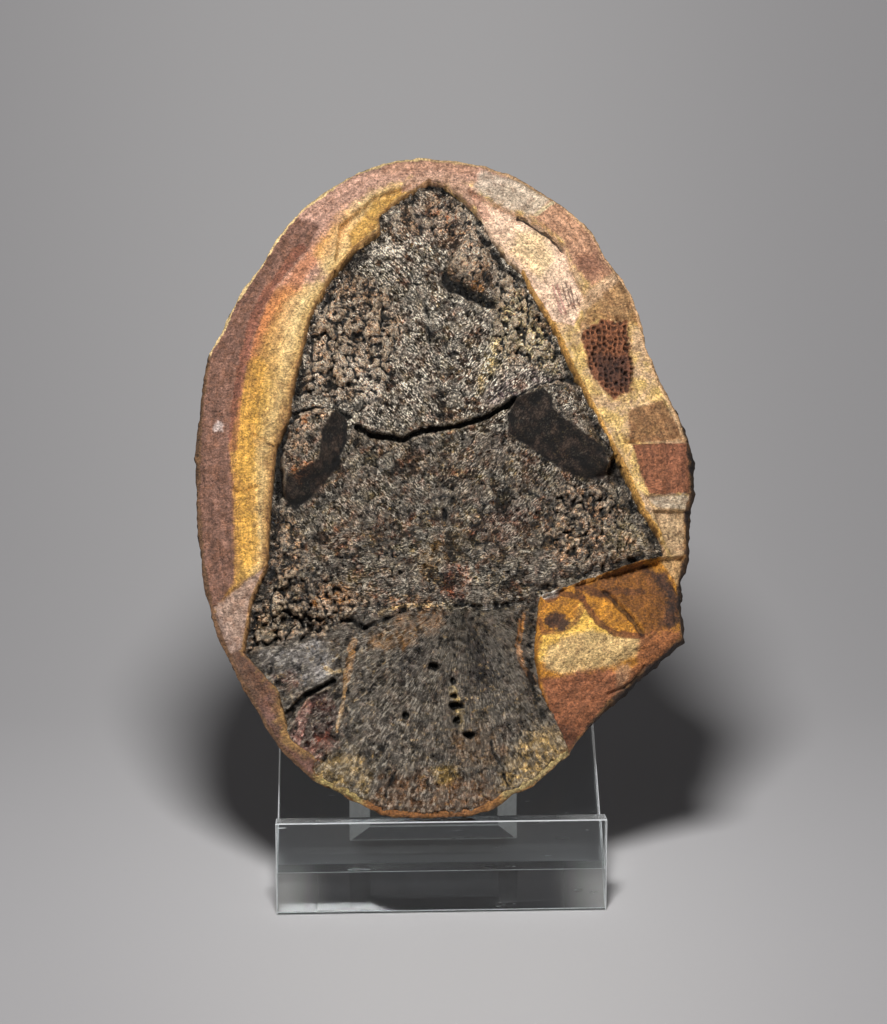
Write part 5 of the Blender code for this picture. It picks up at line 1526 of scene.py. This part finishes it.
# Rounds the edges a little, and gives the sawn finish to the faces that a saw has cut
def finishAcrylic(bm, name, sawn, under, materials, replaced):
    edges = [edge for edge in bm.edges if edge.calc_face_angle(0.0) > 0.3]
    for face in bm.faces:
        face.material_index = 1 if sawn(face) else 2 if under(face) else 0
    bmesh.ops.bevel(bm, geom=edges, offset=easel["edgeRadius"] * mm, segments=2, profile=0.5,
                    affect="EDGES", clamp_overlap=True, material=1)
    bmesh.ops.recalc_face_normals(bm, faces=bm.faces)
    mesh = bpy.data.meshes.new(name)
    bm.to_mesh(mesh)
    bm.free()
    for material in materials:
        mesh.materials.append(material)
    addPiece(name, mesh, replaced, Matrix.Translation(standPlace))
    mesh.shade_flat()


def makeSheet(materials):
    bm = bmesh.new()
    half = easel["width"] / 2.0
    ends = []
    for x in (-half, half):
        ends.append(bm.faces.new([bm.verts.new((x * mm, back * mm, up * mm))
                                  for back, up in sheetProfile()]))
    for one, two in zip(ends[0].edges, ends[1].edges):
        bm.faces.new((*one.verts, *reversed(two.verts)))
    bmesh.ops.recalc_face_normals(bm, faces=bm.faces)

    def sawn(face):
        backTop = face.calc_center_median().z > 70.0 * mm
        return abs(face.normal.x) > 0.9 or backTop

    # the low rear faces of the foot get the painted shade material
    def under(face):
        low = face.calc_center_median().z < easel["heelHeight"] * mm
        return low and face.normal.y > 0.5

    finishAcrylic(bm, "easel_sheet_clear", sawn, under, materials, "easel_sheet")


def makeStrut(materials):
    lean = math.radians(easel["backrestLean"])
    backLine = sheetProfile()[-1][0]
    half, inset = easel["strutWidth"] / 2.0, easel["strutBevelWidth"]
    front, middle = easel["strutSetback"], easel["strutSetback"] + easel["strutBevelDepth"]
    rear = easel["strutSetback"] + easel["strutDepth"]

    def cutHeight(back):
        return (back - backLine) / math.tan(lean) - easel["strutGap"] / math.sin(lean)

    bm = bmesh.new()
    rings = []
    for back, side, low in ((rear, half, 0.0), (middle, half, 0.0), (front, half - inset, inset)):
        high = cutHeight(back)
        rings.append([bm.verts.new((x * mm, back * mm, z * mm)) for x, z in
                      ((-side, low), (side, low), (side, high), (-side, high))])
    bm.faces.new(rings[0])
    bm.faces.new(rings[-1])
    for one, two in zip(rings, rings[1:]):
        for k in range(4):
            bm.faces.new((one[k], one[(k + 1) % 4], two[(k + 1) % 4], two[k]))
    bmesh.ops.recalc_face_normals(bm, faces=bm.faces)

    def sawn(face):
        slanting = 0.2 < abs(face.normal.x) < 0.95
        return slanting or face.normal.z > 0.5

    # the strut's lower front bevel gets the painted shade material
    def under(face):
        return face.normal.y < -0.5 and face.normal.z < -0.3

    finishAcrylic(bm, "rear_strut_clear", sawn, under, materials, "rear_strut")


print("easel: clear sheet and strut")
acrylics = (makeAcrylic(), makeSawnAcrylic(), makeShadedAcrylic())
makeSheet(acrylics)
makeStrut(acrylics)


# The floor in metres, the lamp and the camera in millimetres from the easel's front foot
room = {
    "width": 6.0, "front": -2.5, "bendAt": 0.14, "bendRadius": 1.0, "height": 2.6,
    "colour": (191, 189, 189), "paintedSideShade": (177, 175, 176), "sideShadeFrom": (0.03, 0.26),
    "mottle": 0.02, "mottleColour": (150, 150, 150),
}
key = {
    "place": (-18.0, -180.0, 262.0), "aim": (0.0, 120.0, 40.0),   # millimetres
    "size": 0.066, "power": 11.6,
}
roomLight = (0.02, 0.02, 0.022)
camera = {
    "place": (-16.56, -386.55, 140.19),   # millimetres from the middle of the easel's front foot
    "down": 8.0, "turn": 2.5,             # degrees
    "imageHeight": 1024, "focalPixels": 1900.0, "sensor": 36.0,
}


def makeRoom():
    bendAt, radius = room["bendAt"], room["bendRadius"]
    profile = [(room["front"], 0.0), (bendAt, 0.0)]
    for step in range(1, 49):
        turn = math.radians(90.0 * step / 48)
        profile.append((bendAt + radius * math.sin(turn), radius * (1.0 - math.cos(turn))))
    profile.append((bendAt + radius, room["height"]))
    bm = bmesh.new()
    half = room["width"] / 2.0
    rows = [[bm.verts.new((x, back, up)) for x in (-half, half)] for back, up in profile]
    for low, high in zip(rows, rows[1:]):
        bm.faces.new((low[0], low[1], high[1], high[0]))
    mesh = bpy.data.meshes.new("floor_sweep")
    bm.to_mesh(mesh)
    bm.free()
    mesh.shade_smooth()
    material, tree, shader = newMaterial("pale_floor")
    across, back, _ = axes(tree, objectPoint(tree))
    # painted shade: the floor and sweep darker towards the sides, as if the light fell off there
    spread = calc(tree, "DIVIDE", calc(tree, "ABSOLUTE", across), calc(tree, "ADD", back, 0.42))
    side = remap(tree, spread, *room["sideShadeFrom"])
    colour = blendColour(tree, side, tint(room["colour"]), tint(room["paintedSideShade"]))
    mottle = remap(tree, clouds(tree, 1.2, 5.0, 0.6), 0.25, 0.75, 0.0, room["mottle"])
    colour = blendColour(tree, mottle, colour, tint(room["mottleColour"]))
    feed(tree, shader, {"Base Color": colour, "Roughness": 0.85, "Specular IOR Level": 0.2})
    mesh.materials.append(material)
    floor = addObject("floor_sweep", mesh)


# The lamp is close, so its shadows spread; it lights near and far alike
def makeLights():
    data = bpy.data.lights.new("key_light", "AREA")
    data.shape = "DISK"
    data.size = key["size"]
    data.energy = key["power"]
    data.use_nodes = True
    falloff = put(data.node_tree, "ShaderNodeLightFalloff", {"Strength": 1.0})
    feed(data.node_tree, data.node_tree.nodes["Emission"],
         {"Strength": falloff.outputs["Constant"]})
    lamp = addObject("key_light", data)
    place, aim = Vector(key["place"]) * mm, Vector(key["aim"]) * mm
    lamp.location = standPlace + place
    lamp.rotation_mode = "QUATERNION"
    lamp.rotation_quaternion = (aim - place).to_track_quat("-Z", "Y")
    world = bpy.data.worlds.new("soft_room")
    world.use_nodes = True
    world.node_tree.nodes["Background"].inputs[0].default_value = (*roomLight, 1.0)
    bpy.context.scene.world = world


def makeCamera():
    data = bpy.data.cameras.new("camera")
    data.sensor_width = camera["sensor"]
    data.lens = camera["focalPixels"] / camera["imageHeight"] * camera["sensor"]
    data.clip_start = 0.01
    body = addObject("camera", data)
    body.location = standPlace + Vector(camera["place"]) * mm
    body.rotation_euler = (math.radians(90.0 - camera["down"]), 0.0, math.radians(-camera["turn"]))
    bpy.context.scene.camera = body


print("room: floor, lights and camera")
makeRoom()
makeLights()
makeCamera()
bpy.context.scene.view_settings.view_transform = "Standard"

bpy.context.view_layer.update()
